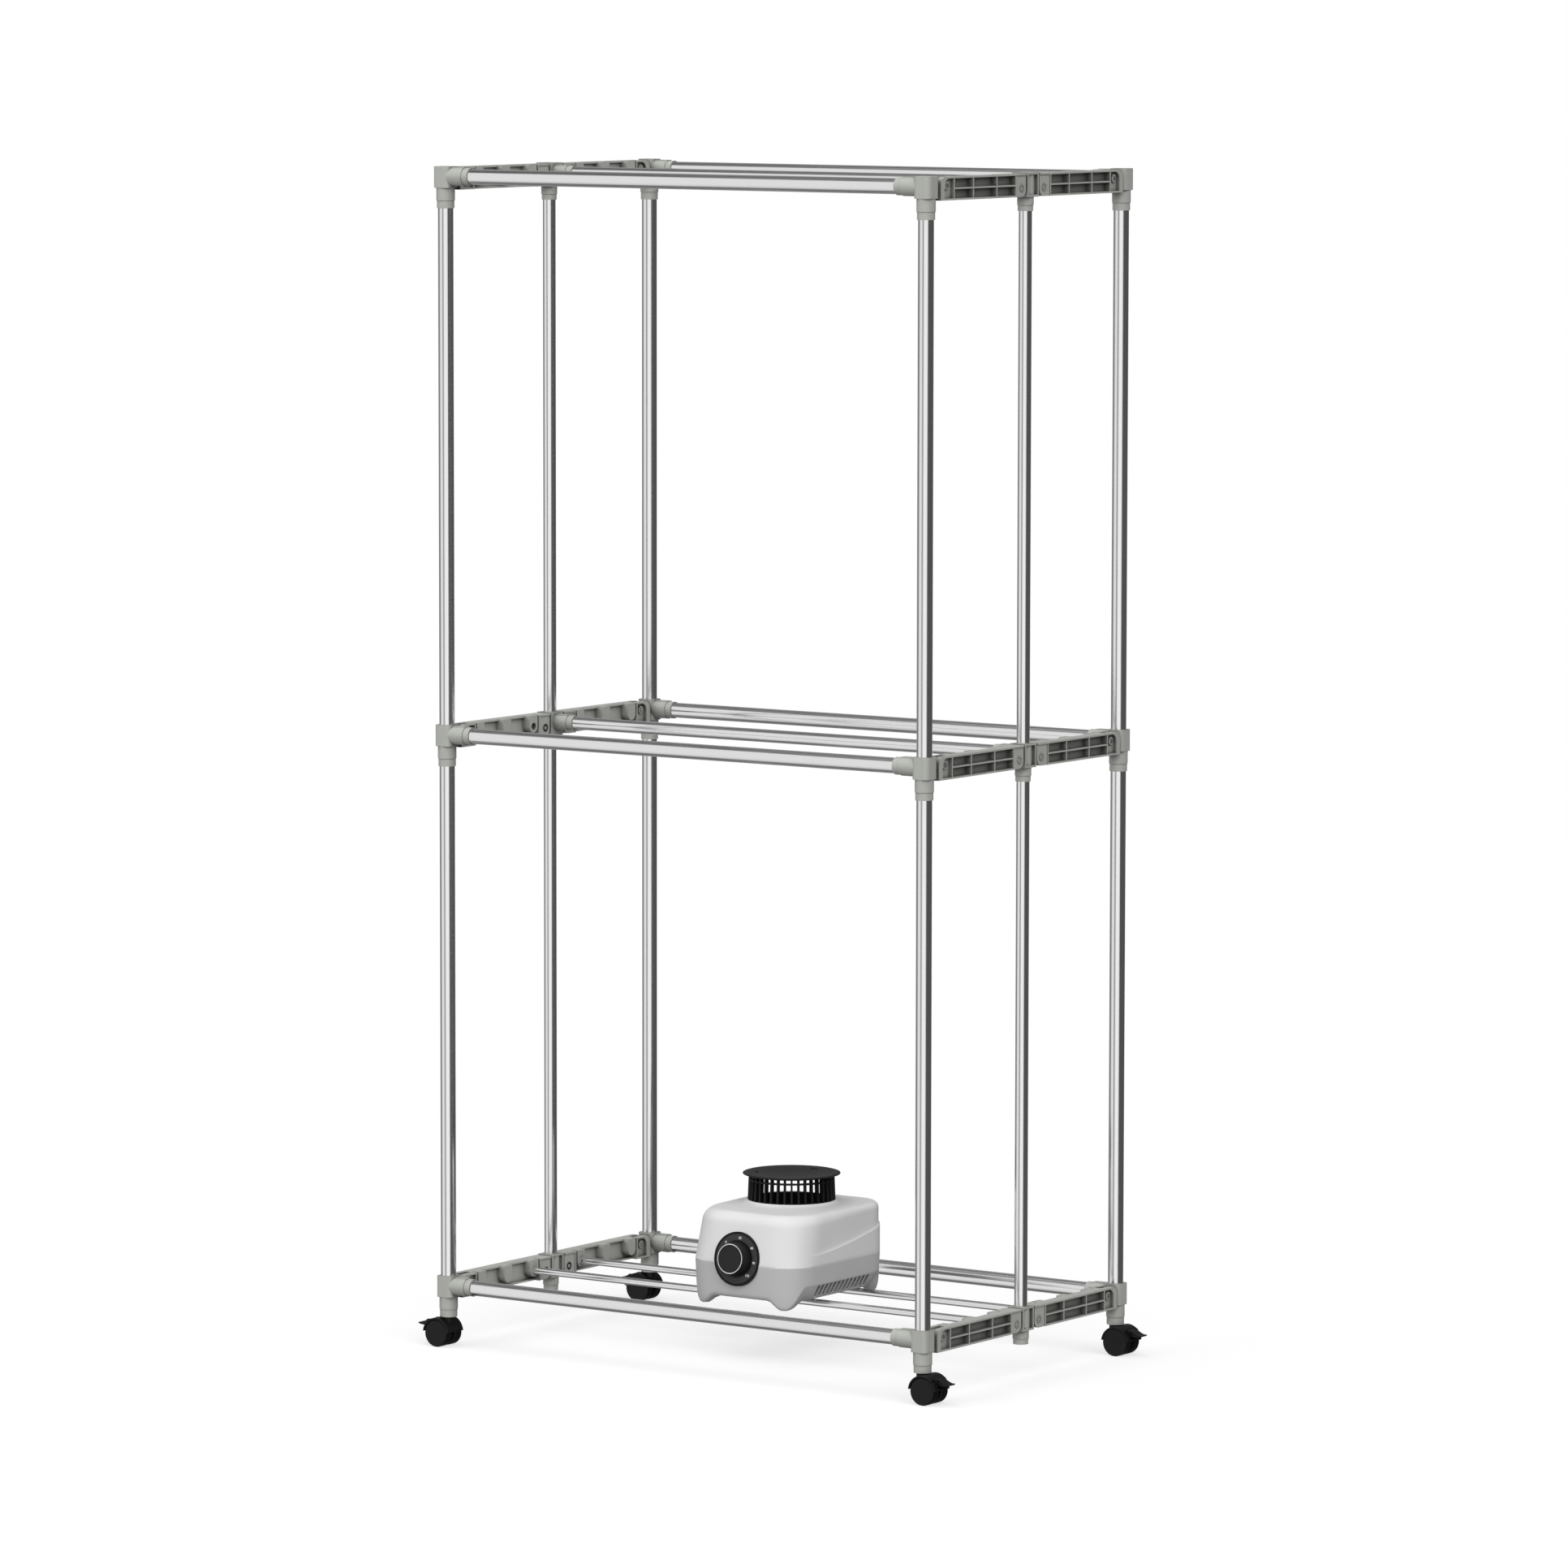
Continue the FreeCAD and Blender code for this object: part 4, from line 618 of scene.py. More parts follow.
def make_cap(heater):
    place = Matrix.Translation((HEATER_X + OUTLET[0], OUTLET[1], 0))
    low = heater.outlet_top / MM
    rim = heater.cap_diameter / MM / 2
    bm = bmesh.new()
    profile = (
        (0.5, low - 3.2), (30, low - 2.4), (46, low - 0.4), (50, low), (54, low), (rim - 1.2, low + 0.4),
        (rim - 0.3, low + 0.8), (rim, low + 1.4), (rim - 0.3, low + 2.0), (rim - 1.2, low + 2.35),
        (52, low + 1.9), (45, low + 1.3), (30, low - 0.4), (14, low - 1.2), (0.5, low - 1.4),
    )
    add_lathe(bm, profile, place, 128)
    piece = new_piece("deflector_cap", bm, "black_plastic", 50)
    notches = bmesh.new()
    for turn in NOTCH_TURNS:
        spin = place @ Matrix.Rotation(math.radians(turn), 4, "Z")
        add_block(notches, (42.5, -5.0, low - 0.2), (46, 5.0, low + 6), 0.5, spin)
    combine(piece, notches, sharp=50)
    seat(piece, "heater", "outlet_black", "deflector_cap")


def make_dial(heater):
    place = dial_place(heater)
    radius = heater.dial_diameter / MM / 2
    bm = bmesh.new()
    profile = (
        (0.5, -13.8), (radius - 0.3, -13.8), (radius, -13.2), (radius, 0.4), (radius - 0.3, 0.75),
        (radius - 1.8, 0.75), (radius - 2.3, 0.2), (radius - DIAL_RIM, 0.0), (DIAL_WELL + 0.5, 0.0),
        (DIAL_WELL, -0.4), (DIAL_WELL - 1.0, -0.4), (0.5, -0.4),
    )
    add_lathe(bm, profile, place, 128)
    piece = new_piece("dial_plate", bm, "dial_black", 30)
    piece.data.materials.append(finish("black_tyre"))
    spin = place.inverted()
    for face in piece.data.polygons:
        local = spin @ (face.center / MM)
        far = math.hypot(local.x, local.y)
        if far > radius - DIAL_RIM - 0.1 or far < DIAL_WELL + 0.2:
            face.material_index = 1
    seat(piece, "heater", "dial_dark", "dial_plate")

    reach = NUMBER_REACH * radius
    for label, angle in DIAL_NUMBERS:
        text = bpy.data.curves.new("dial_number_" + label, "FONT")
        text.body = label
        text.align_x = "CENTER"
        text.align_y = "CENTER"
        text.size = heater.number_height / NUMBER_SHARE
        text.extrude = NUMBER_THICKNESS
        text.offset = NUMBER_WEIGHT
        sample = show("number_sample", text)
        bpy.context.view_layer.update()
        graph = bpy.context.evaluated_depsgraph_get()
        mesh = bpy.data.meshes.new_from_object(sample.evaluated_get(graph))
        bpy.data.objects.remove(sample)
        bpy.data.curves.remove(text)
        turn = math.radians(angle)
        spot = Matrix.Translation((reach * math.sin(turn), reach * math.cos(turn), 0.1))
        scaled = Matrix.Scale(MM, 4) @ place @ spot @ Matrix.Scale(1 / MM, 4)
        mesh.transform(scaled)
        number = show("dial_number_" + label, mesh)
        mesh.materials.clear()
        mesh.materials.append(finish("number_white"))
        seat(number, "heater", "dial_dark")


def make_knob(heater):
    place = dial_place(heater)
    radius = heater.knob_diameter / MM / 2
    length = heater.knob_length / MM
    bm = bmesh.new()
    profile = (
        (0.5, 0.4), (radius, 0.4), (radius, 1.0), (radius - 0.5, 2.2), (radius - 1.1, length - 0.6),
        (radius - 1.6, length + 0.1), (radius - 2.2, length + 0.4), (radius - 3.4, length + 0.4),
        (radius - 3.9, length + 0.1), (radius - 5.5, length - 0.1), (0.5, length - 0.1),
    )
    add_lathe(bm, profile, place, 128)
    piece = new_piece("timer_knob", bm, "knob_black", 40)
    seat(piece, "knob", "knob_dark", "timer_knob")
    ring = bmesh.new()
    out = radius - 2.15
    section = (
        (out, length + 0.2), (out, length + 0.75), (out - 0.25, length + 0.9), (out - 0.95, length + 0.9),
        (out - 1.2, length + 0.75), (out - 1.2, length + 0.2),
    )
    add_lathe(ring, section, place, 128, closed=True)
    trim = new_piece("knob_ring", ring, "bright_ring", 40)
    seat(trim, "knob", "ring_silver", "knob_ring")


# Folding arms and centre brackets

POST_X = 356.5
LEVEL_HEIGHT = {"bottom": 77.0, "middle": 768.5, "top": 1460.0}
ARM_HALF = 11.5
ARM_TOP = 11.4
ARM_BOTTOM = -16.6
ARM_FLANGE = 2.2
FIRST_RIB = 38.3
LAST_RIB = 172.3
ARM_SOCKETS = (50.0, 105.3, 160.6)
SOCKET_WIDTH = 16.0
CORNER_PIVOT = (184.5, 1.0)
CENTRE_PIVOT = (24.4, -5.7)
ARM_START = 14.95
ARM_ROUNDING = 10.0
CENTRE_ROUNDING = 9.4
HOOD_END = 198.6
ARM_END = 201.2
CENTRE_HALF = 11.2
CENTRE_RIM = 9.9
CENTRE_FLOOR = -6.7
CENTRE_HOLLOW = (-14.4, 9.9)
SLEEVE_RADII = (8.3, 10.6)
SLEEVE_REACH = (-15, 10.4)
CUT_CLEAR = 0.06
RIM_LAP = 0.1
BOSS_BORE = 2.7
BOSS_HEIGHT = 2.2
BOSS_SINK = 0.4
CAP_RADIUS = 2.75
CAP_SINK = 0.6
CAP_THICKNESS = 0.8


def side_place(side, level, along=1):
    """A post's own frame at a level: x outwards, y away from the centre posts."""
    return Matrix.Translation((side * POST_X, 0, LEVEL_HEIGHT[level])) @ Matrix.Diagonal((side, along, 1, 1))


def moulded_copy(node):
    """A node's own form as a piece that can be cut further."""
    bm = bmesh.new()
    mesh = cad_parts[node].data.copy()
    carried_normals = mesh.attributes.get("custom_normal")
    if carried_normals:
        mesh.attributes.remove(carried_normals)
    bm.from_mesh(mesh)
    bpy.data.meshes.remove(mesh)
    bmesh.ops.remove_doubles(bm, verts=bm.verts, dist=0.01 * MM)
    return new_piece(node + "_moulding", bm, "bracket_grey")


def join(piece, extra):
    """Add closed shapes to a piece."""
    bmesh.ops.recalc_face_normals(extra, faces=extra.faces)
    bm = bmesh.new()
    bm.from_mesh(piece.data)
    merge(bm, extra)
    bm.to_mesh(piece.data)
    bm.free()
    smooth(piece, 35)


def quarter(centre, radius, first, last):
    """Points of an arc between two angles in degrees."""
    turns = [math.radians(first + (last - first) * step / 8) for step in range(9)]
    return [(centre[0] + radius * math.cos(turn), centre[1] + radius * math.sin(turn)) for turn in turns]


def add_plate(bm, outline, faces, place):
    """A flat plate: an outline of (y, z) points between two x positions."""
    add_rows(bm, [[place @ Vector((x, y, z)) for y, z in outline] for x in sorted(faces)])


def hood_outlines(arms):
    """The hollow at an arm's corner end, with one round upper corner, and the rim round that corner."""
    low = ARM_BOTTOM + ARM_FLANGE + CUT_CLEAR
    top = ARM_TOP - ARM_FLANGE - CUT_CLEAR
    start = LAST_RIB + 1 + CUT_CLEAR
    stop = HOOD_END - arms.hood_wall / MM
    radius = arms.hood_corner / MM
    inner = quarter((stop - radius, top - radius), radius, 0, 90)
    lining = quarter((stop - radius, top - radius), radius - RIM_LAP, 90, 0)
    hollow = [(start, low), (stop, low), *inner, (start, top)]
    outer = quarter((ARM_END - ARM_ROUNDING, ARM_TOP - ARM_ROUNDING), ARM_ROUNDING - 1, 0, 90)
    rim = [(stop - RIM_LAP, low - 0.5), (ARM_END - 1, low - 0.5), *outer, (stop - radius, ARM_TOP - 1),
           *lining]
    return hollow, rim


def cheek_outline():
    """The flush face of an arm's centre end, rounded at its lower corner."""
    rib = FIRST_RIB - 0.8
    middle = (ARM_START + CENTRE_ROUNDING, ARM_BOTTOM + CENTRE_ROUNDING)
    corner = quarter(middle, CENTRE_ROUNDING - 0.05, 180, 270)
    return [(rib, ARM_TOP - 2), (ARM_START, ARM_TOP - 2), *corner, (rib, ARM_BOTTOM + 0.05)]


def cut_arm_edges(cutter, keep, place):
    """Narrow an arm's top edge between the rod sockets, and its bottom edge all along."""
    behind = -ARM_HALF - 1
    pad = SOCKET_WIDTH / 2 - 0.3
    gaps = [FIRST_RIB + 1.2, *(c + sign * pad for c in ARM_SOCKETS for sign in (-1, 1)), LAST_RIB - 1.2]
    under = ARM_TOP - ARM_FLANGE - 0.2
    for low, high in zip(gaps[::2], gaps[1::2]):
        add_block(cutter, (behind, low, under), (keep, high, ARM_TOP + 1), 0.2, place)
    over = ARM_BOTTOM + ARM_FLANGE + 0.2
    add_block(cutter, (behind, gaps[0], ARM_BOTTOM - 1), (keep, gaps[-1], over), 0.2, place)


def add_boss(added, pivot, radius, root, tip, face, place):
    """A round boss about a pivot on one face of an arm, with the pin's cap inside it."""
    cap = tip - CAP_SINK
    turn = place @ Matrix.Translation((0, *pivot)) @ Matrix.Rotation(math.radians(90), 4, "Y")
    ring = ((radius, root), (radius, tip), (BOSS_BORE, tip), (BOSS_BORE, root))
    disc = ((CAP_RADIUS, cap - CAP_THICKNESS), (CAP_RADIUS, cap), (0.4, cap), (0.4, cap - CAP_THICKNESS))
    add_lathe(added, [(r, face * x) for r, x in ring], turn, 32, closed=True)
    add_lathe(added, [(r, face * x) for r, x in disc], turn, 32)


def make_arm_pair(arms, end, level):
    """Two arms of a level: narrow edges, a hollow hood at the corner end and a flush centre end."""
    node = f"{end}_arms_{level}"
    piece = moulded_copy(node)
    cutter = bmesh.new()
    added = bmesh.new()
    plates = bmesh.new()
    hollow, rim = hood_outlines(arms)
    cheek = cheek_outline()
    depth = arms.hood_depth / MM
    floor = ARM_HALF - depth
    sunk = ARM_HALF - arms.cheek_sink / MM
    boss = arms.boss_diameter / MM / 2
    for side in (1, -1):
        place = side_place(side, level, 1 if end == "rear" else -1)
        cut_arm_edges(cutter, ARM_HALF - arms.edge_width / MM, place)
        for face in (1, -1):
            add_plate(cutter, hollow, (face * floor, face * (ARM_HALF + 3)), place)
            add_plate(plates, rim, (face * (floor - 0.2), face * (ARM_HALF - 0.02)), place)
            add_plate(plates, cheek, (face * (ARM_HALF - 3.6), face * sunk), place)
            for pivot, rise in ((CORNER_PIVOT, depth - BOSS_HEIGHT), (CENTRE_PIVOT, BOSS_SINK)):
                add_boss(added, pivot, boss, floor - 0.3, ARM_HALF - rise, face, place)
    combine(piece, cutter)
    combine(piece, plates, "UNION")
    join(piece, added)
    seat(piece, node, "bracket_plastic", node)


def make_centre_brackets():
    """The bottom pair shows its sleeve between two upright rims on the inner side too."""
    piece = moulded_copy("centre_brackets")
    cutter = bmesh.new()
    added = bmesh.new()
    low, high = CENTRE_HOLLOW
    inner, outer = SLEEVE_RADII
    bottom, top = SLEEVE_REACH
    sleeve = ((outer, bottom), (outer, top), (inner, top), (inner, bottom))
    for side in (1, -1):
        place = side_place(side, "bottom")
        add_block(cutter, (-CENTRE_HALF - 1, -CENTRE_RIM, low), (CENTRE_FLOOR, CENTRE_RIM, high), 0.2, place)
        add_lathe(added, sleeve, place, 48, closed=True)
    combine(piece, cutter)
    join(piece, added)
    seat(piece, "centre_frame", "bracket_plastic", "centre_brackets")


# Castor pedals

PEDAL_PIVOT = (380.97, 215.5, 30.45)
PEDAL_SIDE = (
    (-2.0, 2.0), (3.5, 2.9), (9.5, 2.0), (14.5, 2.0), (17.4, 3.2), (18.5284, 2.9), (18.0, 1.6), (14.5, -0.6),
    (10.0, -2.6), (6.0, -3.9), (1.5, -3.4), (-1.8, -1.8),
)
PEDAL_EDGES = ((0.0, 0.9), (0.5, 0.98), (1.0, 1.0))
PEDAL_ROUNDING = 0.3
PEDAL_MIDDLE = (8.0, -0.2)
PEDAL_HUB = 2.4
PEDAL_PIN = 1.5
PEDAL_PIN_HALF = 10.2


def make_pedal(pedals, end, side):
    """A thick toe pedal with a turned-up tip, on its hub and pin."""
    x, y, z = PEDAL_PIVOT
    outwards = 1 if side == "right" else -1
    place = Matrix.Translation((outwards * x, y if end == "rear" else -y, z))
    place = place @ Matrix.Diagonal((outwards, 1, 1, 1)) @ Matrix.Rotation(pedals.slope, 4, "Y")
    half = pedals.width / MM / 2
    bm = bmesh.new()
    rows = []
    edges = [(inset - half, size) for inset, size in PEDAL_EDGES]
    edges += [(half - inset, size) for inset, size in reversed(PEDAL_EDGES)]
    middle_u, middle_v = PEDAL_MIDDLE
    for across, size in edges:
        side_view = [(middle_u + (u - middle_u) * size, middle_v + (v - middle_v) * size)
                     for u, v in PEDAL_SIDE]
        rows.append([place @ Vector((u, across, v)) for u, v in side_view])
    add_rows(bm, rows)
    axis = place @ Matrix.Rotation(math.radians(90), 4, "X")
    for radius, reach in ((PEDAL_HUB, half), (PEDAL_PIN, PEDAL_PIN_HALF)):
        end_radius, end_reach = radius - PEDAL_ROUNDING, reach - PEDAL_ROUNDING
        profile = ((end_radius, -reach), (radius, -end_reach), (radius, end_reach), (end_radius, reach))
        add_lathe(bm, profile, axis, 32)
    piece = new_piece(f"pedal_{end}_{side}", bm, "black_plastic", 40)
    seat(piece, f"brake_{end}_{side}", "castor_plastic", f"castor_{end}_{side}_brake")


# Stage

CAMERA_YAW = 34.74
CAMERA_PITCH = 5.81
CAMERA_ROLL = 0.075
CAMERA_PLACE = (5.872, -8.463, 1.758)
SENSOR_WIDTH = 36
FOCAL_WIDTHS = 10294 / 1932
FRONT_LAMP = ((-0.33, -0.93, 0.15), math.radians(40))
RIGHT_LAMP = ((0.66, -0.42, 0.62), math.radians(60))
TOP_LAMP = ((-0.30, -0.20, 0.93), math.radians(50))
LAMP_DISTANCE = 6
FLOOR_RADIUS = 6.0
FLOOR_GREY = (0.4, 0.4, 0.4, 1)
WHITE = (1, 1, 1, 1)
OVERHEAD_GREY = (0.9, 0.9, 0.9, 1)


def make_camera():
    data = bpy.data.cameras.new("camera")
    data.sensor_width = SENSOR_WIDTH
    data.lens = SENSOR_WIDTH * FOCAL_WIDTHS
    data.clip_end = 100
    camera = show("camera", data)
    camera.location = CAMERA_PLACE
    turn = Matrix.Rotation(math.radians(CAMERA_YAW), 4, "Z") @ Matrix.Rotation(
        math.radians(90 - CAMERA_PITCH), 4, "X") @ Matrix.Rotation(math.radians(CAMERA_ROLL), 4, "Z")
    camera.rotation_euler = turn.to_euler()
    bpy.context.scene.camera = camera


AZIMUTH_STOPS = (
    (-180, 0.30), (-140, 0.20), (-105, 0.25), (-93, 0.80), (-58, 0.80), (-48, 0.32), (-36, 0.32), (-25, 0.92),
    (22, 0.92), (34, 0.085), (140, 0.08), (165, 0.2), (180, 0.30),
)
HEIGHT_STOPS = (
    (-1.0, 0.2), (-0.94, 0.5), (-0.70, 0.85), (-0.45, 1.0), (0.70, 1.0), (0.76, 0.35), (0.82, 0.35),
    (0.87, 1.0),
)
OVERHEAD_STOPS = ((0.82, 0.0), (0.88, 1.0))


def ramp_of(tree, stops, low, high):
    ramp = add_node(tree, "ValToRGB")
    elements = ramp.color_ramp.elements
    while len(elements) > 1:
        elements.remove(elements[-1])
    for index, (where, value) in enumerate(stops):
        position = (where - low) / (high - low)
        element = elements[0] if index == 0 else elements.new(position)
        element.position = position
        element.color = (value, value, value, 1)
    return ramp


def make_world(ambient_strength):
    """Pale and dark walls that only reflections see, with even light and a white backdrop."""
    world = bpy.data.worlds.new("studio")
    bpy.context.scene.world = world
    world.use_nodes = True
    tree = world.node_tree
    tree.nodes.clear()
    link = tree.links.new
    place = add_node(tree, "TexCoord")
    turned = add_node(tree, "Mapping", {"Rotation": (0, 0, math.radians(90 - CAMERA_YAW))})
    around = add_node(tree, "TexGradient", gradient_type="RADIAL")
    azimuth = ramp_of(tree, AZIMUTH_STOPS, -180, 180)
    link(place.outputs["Generated"], turned.inputs["Vector"])
    link(turned.outputs["Vector"], around.inputs["Vector"])
    link(around.outputs["Fac"], azimuth.inputs["Fac"])

    split = add_node(tree, "SeparateXYZ")
    unit = add_node(tree, "Math", {1: 0.5, 2: 0.5}, operation="MULTIPLY_ADD")
    overhead = ramp_of(tree, OVERHEAD_STOPS, -1, 1)
    height = ramp_of(tree, HEIGHT_STOPS, -1, 1)
    sides = add_node(tree, "Mix", {0: 1.0}, data_type="RGBA", blend_type="MULTIPLY")
    whole = add_node(tree, "Mix", {7: OVERHEAD_GREY}, data_type="RGBA")
    link(place.outputs["Generated"], split.inputs["Vector"])
    link(split.outputs["Z"], unit.inputs[0])
    link(unit.outputs["Value"], overhead.inputs["Fac"])
    link(unit.outputs["Value"], height.inputs["Fac"])
    link(azimuth.outputs["Color"], sides.inputs[6])
    link(height.outputs["Color"], sides.inputs[7])
    link(overhead.outputs["Color"], whole.inputs[0])
    link(sides.outputs[2], whole.inputs[6])

    studio = add_node(tree, "Background", {"Strength": 1.0})
    ambient = add_node(tree, "Background", {"Color": WHITE, "Strength": ambient_strength})
    backdrop = add_node(tree, "Background", {"Color": WHITE, "Strength": 1.0})
    path = add_node(tree, "LightPath")
    mirrored = add_node(tree, "MixShader")
    choose = add_node(tree, "MixShader")
    output = add_node(tree, "OutputWorld")
    link(whole.outputs[2], studio.inputs["Color"])
    link(path.outputs["Is Glossy Ray"], mirrored.inputs[0])
    link(ambient.outputs[0], mirrored.inputs[1])
    link(studio.outputs[0], mirrored.inputs[2])
    link(path.outputs["Is Camera Ray"], choose.inputs[0])
    link(mirrored.outputs[0], choose.inputs[1])
    link(backdrop.outputs[0], choose.inputs[2])
    link(choose.outputs[0], output.inputs["Surface"])


def make_lamp(name, towards, width, strength):
    """A wide, far lamp that lights the mouldings and is left out of the chrome's reflections."""
    data = bpy.data.lights.new(name, "SUN")
    data.angle = width
    data.energy = strength
    lamp = show(name, data)
    lamp.location = Vector(towards) * LAMP_DISTANCE
    lamp.rotation_euler = Vector(towards).to_track_quat("Z", "Y").to_euler()
    lamp.visible_glossy = False


def make_floor(glow_strength):
    mesh = bpy.data.meshes.new("floor")
    bm = bmesh.new()
    bmesh.ops.create_circle(bm, cap_ends=True, radius=FLOOR_RADIUS, segments=96)
    bm.to_mesh(mesh)
    bm.free()
    floor = show("floor", mesh)
    tree, surface = empty_finish("floor_white")
    matt = add_node(tree, "BsdfDiffuse", {"Color": FLOOR_GREY})
    glow = add_node(tree, "Emission", {"Strength": glow_strength})
    both = add_node(tree, "AddShader")
    tree.links.new(matt.outputs[0], both.inputs[0])
    tree.links.new(glow.outputs[0], both.inputs[1])
    tree.links.new(both.outputs[0], surface)
    mesh.materials.append(finish("floor_white"))
    floor.visible_diffuse = False
    floor.visible_glossy = False


# Settings a user would change


def length_setting(name, description, millimetres):
    return bpy.props.FloatProperty(name=name, description=description, default=millimetres * MM, min=0.0,
                                   unit="LENGTH", subtype="DISTANCE", precision=4)


def colour_setting(name, description, colour):
    return bpy.props.FloatVectorProperty(name=name, description=description, default=colour, size=3,
                                         min=0.0, max=1.0, subtype="COLOR")


def angle_setting(name, description, degrees):
    return bpy.props.FloatProperty(name=name, description=description, default=math.radians(degrees),
                                   subtype="ANGLE", unit="ROTATION")


def strength_setting(name, description, value):
    return bpy.props.FloatProperty(name=name, description=description, default=value, min=0.0)


def count_setting(name, description, count):
    return bpy.props.IntProperty(name=name, description=description, default=count, min=1, max=80)


class AirerLook(bpy.types.PropertyGroup):
    chrome_colour: colour_setting("Chrome", "Colour of the plated tubes", (0.90, 0.90, 0.90))
    chrome_roughness: bpy.props.FloatProperty(name="Chrome roughness", description="Haze of the plated tubes",
                                              default=0.17, min=0.03, max=1.0, subtype="FACTOR")
    bracket_colour: colour_setting("Brackets", "Colour of brackets and folding arms", (0.47, 0.48, 0.445))
    moulded_edge: length_setting("Moulded edge", "Softness of the edges of brackets and arms", 0.5)
    # How far the painted shade reaches into deep corners and recesses of brackets and arms.
    painted_shade_reach: length_setting("Cavity reach", "How far deep corners of brackets and arms darken", 18.0)
    upper_colour: colour_setting("Upper shell", "Colour of the heater's upper shell", (0.81, 0.81, 0.81))
    lower_colour: colour_setting("Lower shell", "Colour of the heater's lower shell", (0.58, 0.58, 0.58))
    black_colour: colour_setting("Black plastic", "Colour of outlet and castor housings",
                                 (0.008, 0.008, 0.008))
    tyre_colour: colour_setting("Wheels", "Colour of the castor wheels", (0.006, 0.006, 0.006))
    dial_colour: colour_setting("Dial", "Colour of the dial's face", (0.054, 0.054, 0.055))
    knob_colour: colour_setting("Knob", "Colour of the timer knob", (0.014, 0.014, 0.014))


class AirerHeater(bpy.types.PropertyGroup):
    front_lean: angle_setting("Front lean", "How far the front and the dial lean back", 7.5)
    front_corner_growth: length_setting("Front corners", "Extra rounding of the front corners upwards", 8.0)
    crease_step: length_setting("Crease step", "How far the sides stand proud below the crease", 1.9)
    shoulder_start: length_setting("Shoulder start", "Height where the sides begin to turn in", 177.0)
    shoulder_radius: length_setting("Shoulder radius", "Rounding between sides and top", 8.0)
    front_shoulder_radius: length_setting("Front shoulder radius", "Rounding between front and top", 15.0)
    collar_height: length_setting("Collar height", "Height of the top round the outlet", 191.0)
    foot_depth: length_setting("Foot depth", "How far the feet reach below the belly", 11.0)
    cove_height: length_setting("Cove height", "Height of the slanted coves that hold the vents", 18.5)
    vent_count: count_setting("Vents", "Vent slots on each side", 13)
    vent_pitch: length_setting("Vent pitch", "Spacing of the vent slots", 8.9)
    vent_width: length_setting("Vent width", "Width of a vent slot", 5.8)
    outlet_top: length_setting("Outlet top", "Height of the outlet's upper edge", 222.0)
    window_ring: length_setting("Window ring", "Height of the ring between the two rows of windows", 216.0)
    window_width: length_setting("Window width", "Width of an outlet window", 6.3)
    rib_count: count_setting("Outlet ribs", "Ribs round the outlet", 38)
    rib_depth: length_setting("Rib depth", "How deep the outlet ribs are", 6.0)
    rib_turn: angle_setting("Rib turn", "How far the ring of ribs is turned", -3.2)
    cap_diameter: length_setting("Cap diameter", "Width of the deflector cap", 122.0)
    dial_x: length_setting("Dial place", "The dial's place across the front", 5.6)
    dial_z: length_setting("Dial height", "The dial's height", 129.1)
    dial_proud: length_setting("Dial proud", "How far the dial stands out of the front", 0.8)
    dial_diameter: length_setting("Dial diameter", "Width of the dial", 67.0)
    number_height: length_setting("Number height", "Height of the numbers on the dial", 3.0)
    knob_diameter: length_setting("Knob diameter", "Width of the timer knob at its foot", 41.5)
    knob_length: length_setting("Knob length", "How far the knob stands out", 14.4)


class AirerArms(bpy.types.PropertyGroup):
    edge_width: length_setting("Edge width", "Width of an arm's edges between the sockets", 15.0)
    hood_depth: length_setting("Hood depth", "How deep the hood at the corner end is", 4.8)
    hood_corner: length_setting("Hood corner", "Radius of the hood's round upper corner", 9.0)
    cheek_sink: length_setting("Cheek sink", "How far the centre end lies below the arm's outer face", 1.1)
    hood_wall: length_setting("Hood wall", "Width of the hood's outer wall", 5.6)
    boss_diameter: length_setting("Boss diameter", "Width of the bosses round the hinge pins", 10.0)


class AirerPedals(bpy.types.PropertyGroup):
    slope: angle_setting("Pedal slope", "How far the pedals slope down", 20)
    width: length_setting("Pedal width", "Width of a toe pedal", 14.8)


class AirerStage(bpy.types.PropertyGroup):
    front_strength: strength_setting("Front lamp", "Strength of the lamp at the front left", 1.02)
    right_strength: strength_setting("Right lamp", "Strength of the broad lamp on the right", 1.85)
    top_strength: strength_setting("Top lamp", "Strength of the lamp overhead", 0.98)
    ambient: strength_setting("Ambient light", "Even light from the whole studio", 0.20)
    floor_glow: strength_setting("Floor glow", "How bright the pale floor is by itself", 0.66)


class AIRER_OT_stage(bpy.types.Operator):
    """Set the camera, the studio light and the pale floor"""

    bl_idname = "airer.stage"
    bl_label = "Stage"

    def execute(self, context):
        stage = context.scene.airer_stage
        context.scene.view_settings.view_transform = "Standard"
        make_camera()
        make_world(stage.ambient)
        make_lamp("front_lamp", *FRONT_LAMP, stage.front_strength)
        make_lamp("right_lamp", *RIGHT_LAMP, stage.right_strength)
        make_lamp("top_lamp", *TOP_LAMP, stage.top_strength)
        make_floor(stage.floor_glow)
        return {"FINISHED"}


class AIRER_OT_finishes(bpy.types.Operator):
    """Make the finishes and give each carried-over piece its own"""

    bl_idname = "airer.finishes"
    bl_label = "Finishes"

    def execute(self, context):
        make_finishes(context.scene.airer_look)
        for name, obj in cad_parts.items():
            obj.data.materials.clear()
            obj.data.materials.append(finish(node_finish(name)))
        return {"FINISHED"}


class AIRER_OT_heater_casing(bpy.types.Operator):
    """Form the heater's two moulded shells"""

    bl_idname = "airer.heater_casing"
    bl_label = "Heater casing"

    def execute(self, context):
        make_upper_shell(context.scene.airer_heater)
        make_lower_shell(context.scene.airer_heater)
        return {"FINISHED"}


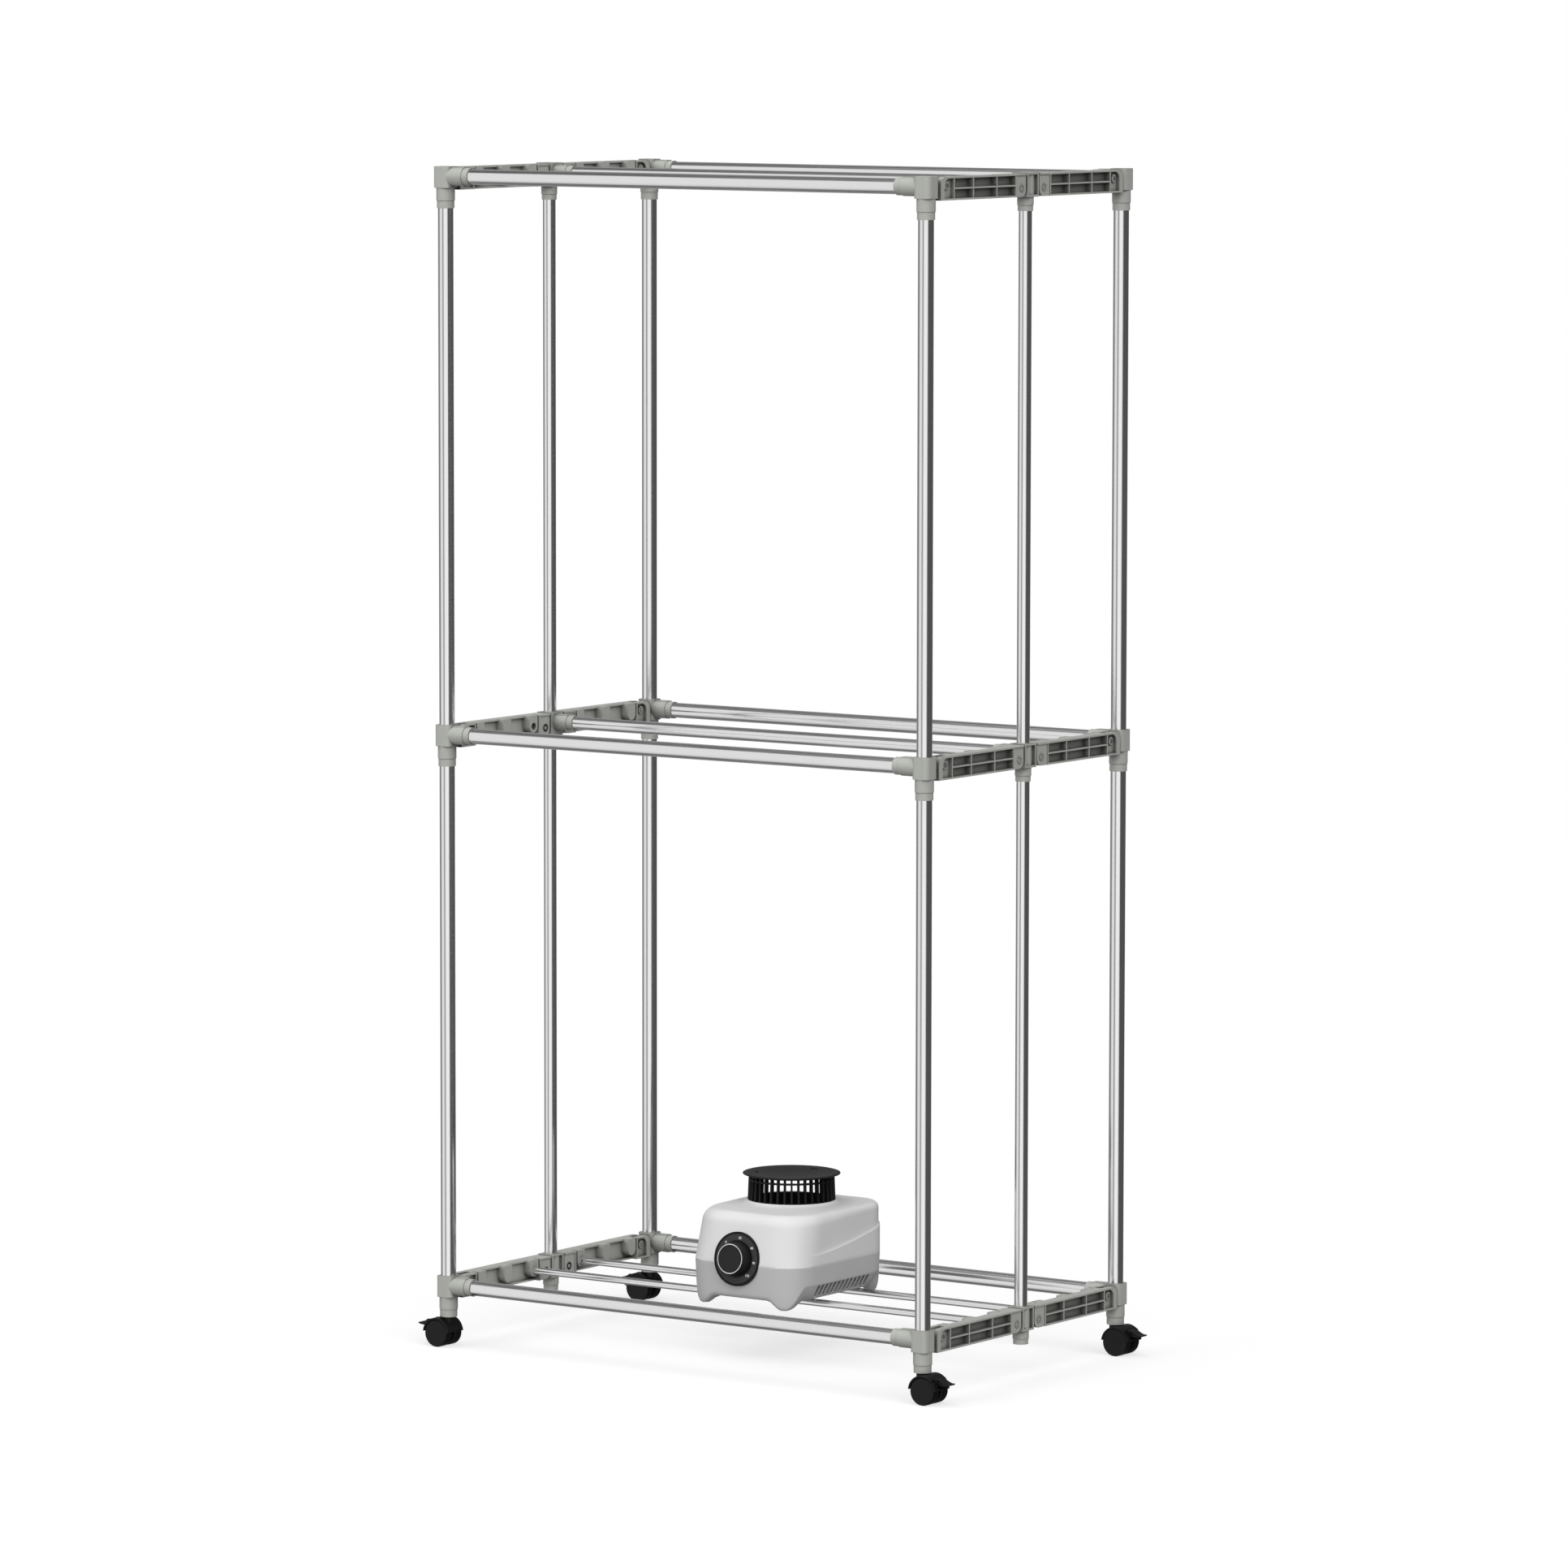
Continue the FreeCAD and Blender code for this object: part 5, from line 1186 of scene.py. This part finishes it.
class AIRER_OT_outlet(bpy.types.Operator):
    """Form the slotted air outlet and its cap"""

    bl_idname = "airer.outlet"
    bl_label = "Air outlet"

    def execute(self, context):
        make_outlet(context.scene.airer_heater)
        make_cap(context.scene.airer_heater)
        return {"FINISHED"}


class AIRER_OT_timer(bpy.types.Operator):
    """Form the dial with its numbers, and the knob"""

    bl_idname = "airer.timer"
    bl_label = "Timer"

    def execute(self, context):
        make_dial(context.scene.airer_heater)
        make_knob(context.scene.airer_heater)
        return {"FINISHED"}


class AIRER_OT_arms(bpy.types.Operator):
    """Form the folding arms and the centre brackets"""

    bl_idname = "airer.arms"
    bl_label = "Folding arms"

    def execute(self, context):
        for end in ENDS:
            for level in LEVELS:
                make_arm_pair(context.scene.airer_arms, end, level)
        make_centre_brackets()
        return {"FINISHED"}


class AIRER_OT_pedals(bpy.types.Operator):
    """Form the toe pedals of the four castors"""

    bl_idname = "airer.pedals"
    bl_label = "Castor pedals"

    def execute(self, context):
        for end in ENDS:
            for side in SIDES:
                make_pedal(context.scene.airer_pedals, end, side)
        return {"FINISHED"}


OPERATORS = (AIRER_OT_stage, AIRER_OT_finishes, AIRER_OT_arms, AIRER_OT_pedals, AIRER_OT_heater_casing,
             AIRER_OT_outlet, AIRER_OT_timer)


class AIRER_PT_panel(bpy.types.Panel):
    """The airer's pieces and settings"""

    bl_idname = "AIRER_PT_panel"
    bl_label = "Clothes airer"
    bl_space_type = "VIEW_3D"
    bl_region_type = "UI"
    bl_category = "Airer"

    def draw(self, context):
        layout = self.layout
        for operator in OPERATORS:
            layout.operator(operator.bl_idname)
        for group in GROUPS:
            settings = getattr(context.scene, group)
            column = layout.column(align=True)
            for name in settings.__annotations__:
                column.prop(settings, name)


GROUPS = {"airer_look": AirerLook, "airer_arms": AirerArms, "airer_pedals": AirerPedals,
          "airer_heater": AirerHeater, "airer_stage": AirerStage}


def register():
    for name, group in GROUPS.items():
        bpy.utils.register_class(group)
        setattr(bpy.types.Scene, name, bpy.props.PointerProperty(type=group))
    for cls in OPERATORS:
        bpy.utils.register_class(cls)
    bpy.utils.register_class(AIRER_PT_panel)


def unregister():
    bpy.utils.unregister_class(AIRER_PT_panel)
    for cls in reversed(OPERATORS):
        bpy.utils.unregister_class(cls)
    for name, group in GROUPS.items():
        delattr(bpy.types.Scene, name)
        bpy.utils.unregister_class(group)


def main():
    register()
    bpy.ops.airer.finishes()
    bpy.ops.airer.arms()
    bpy.ops.airer.pedals()
    bpy.ops.airer.heater_casing()
    bpy.ops.airer.outlet()
    bpy.ops.airer.timer()
    bpy.ops.airer.stage()


if __name__ == "__main__":
    main()
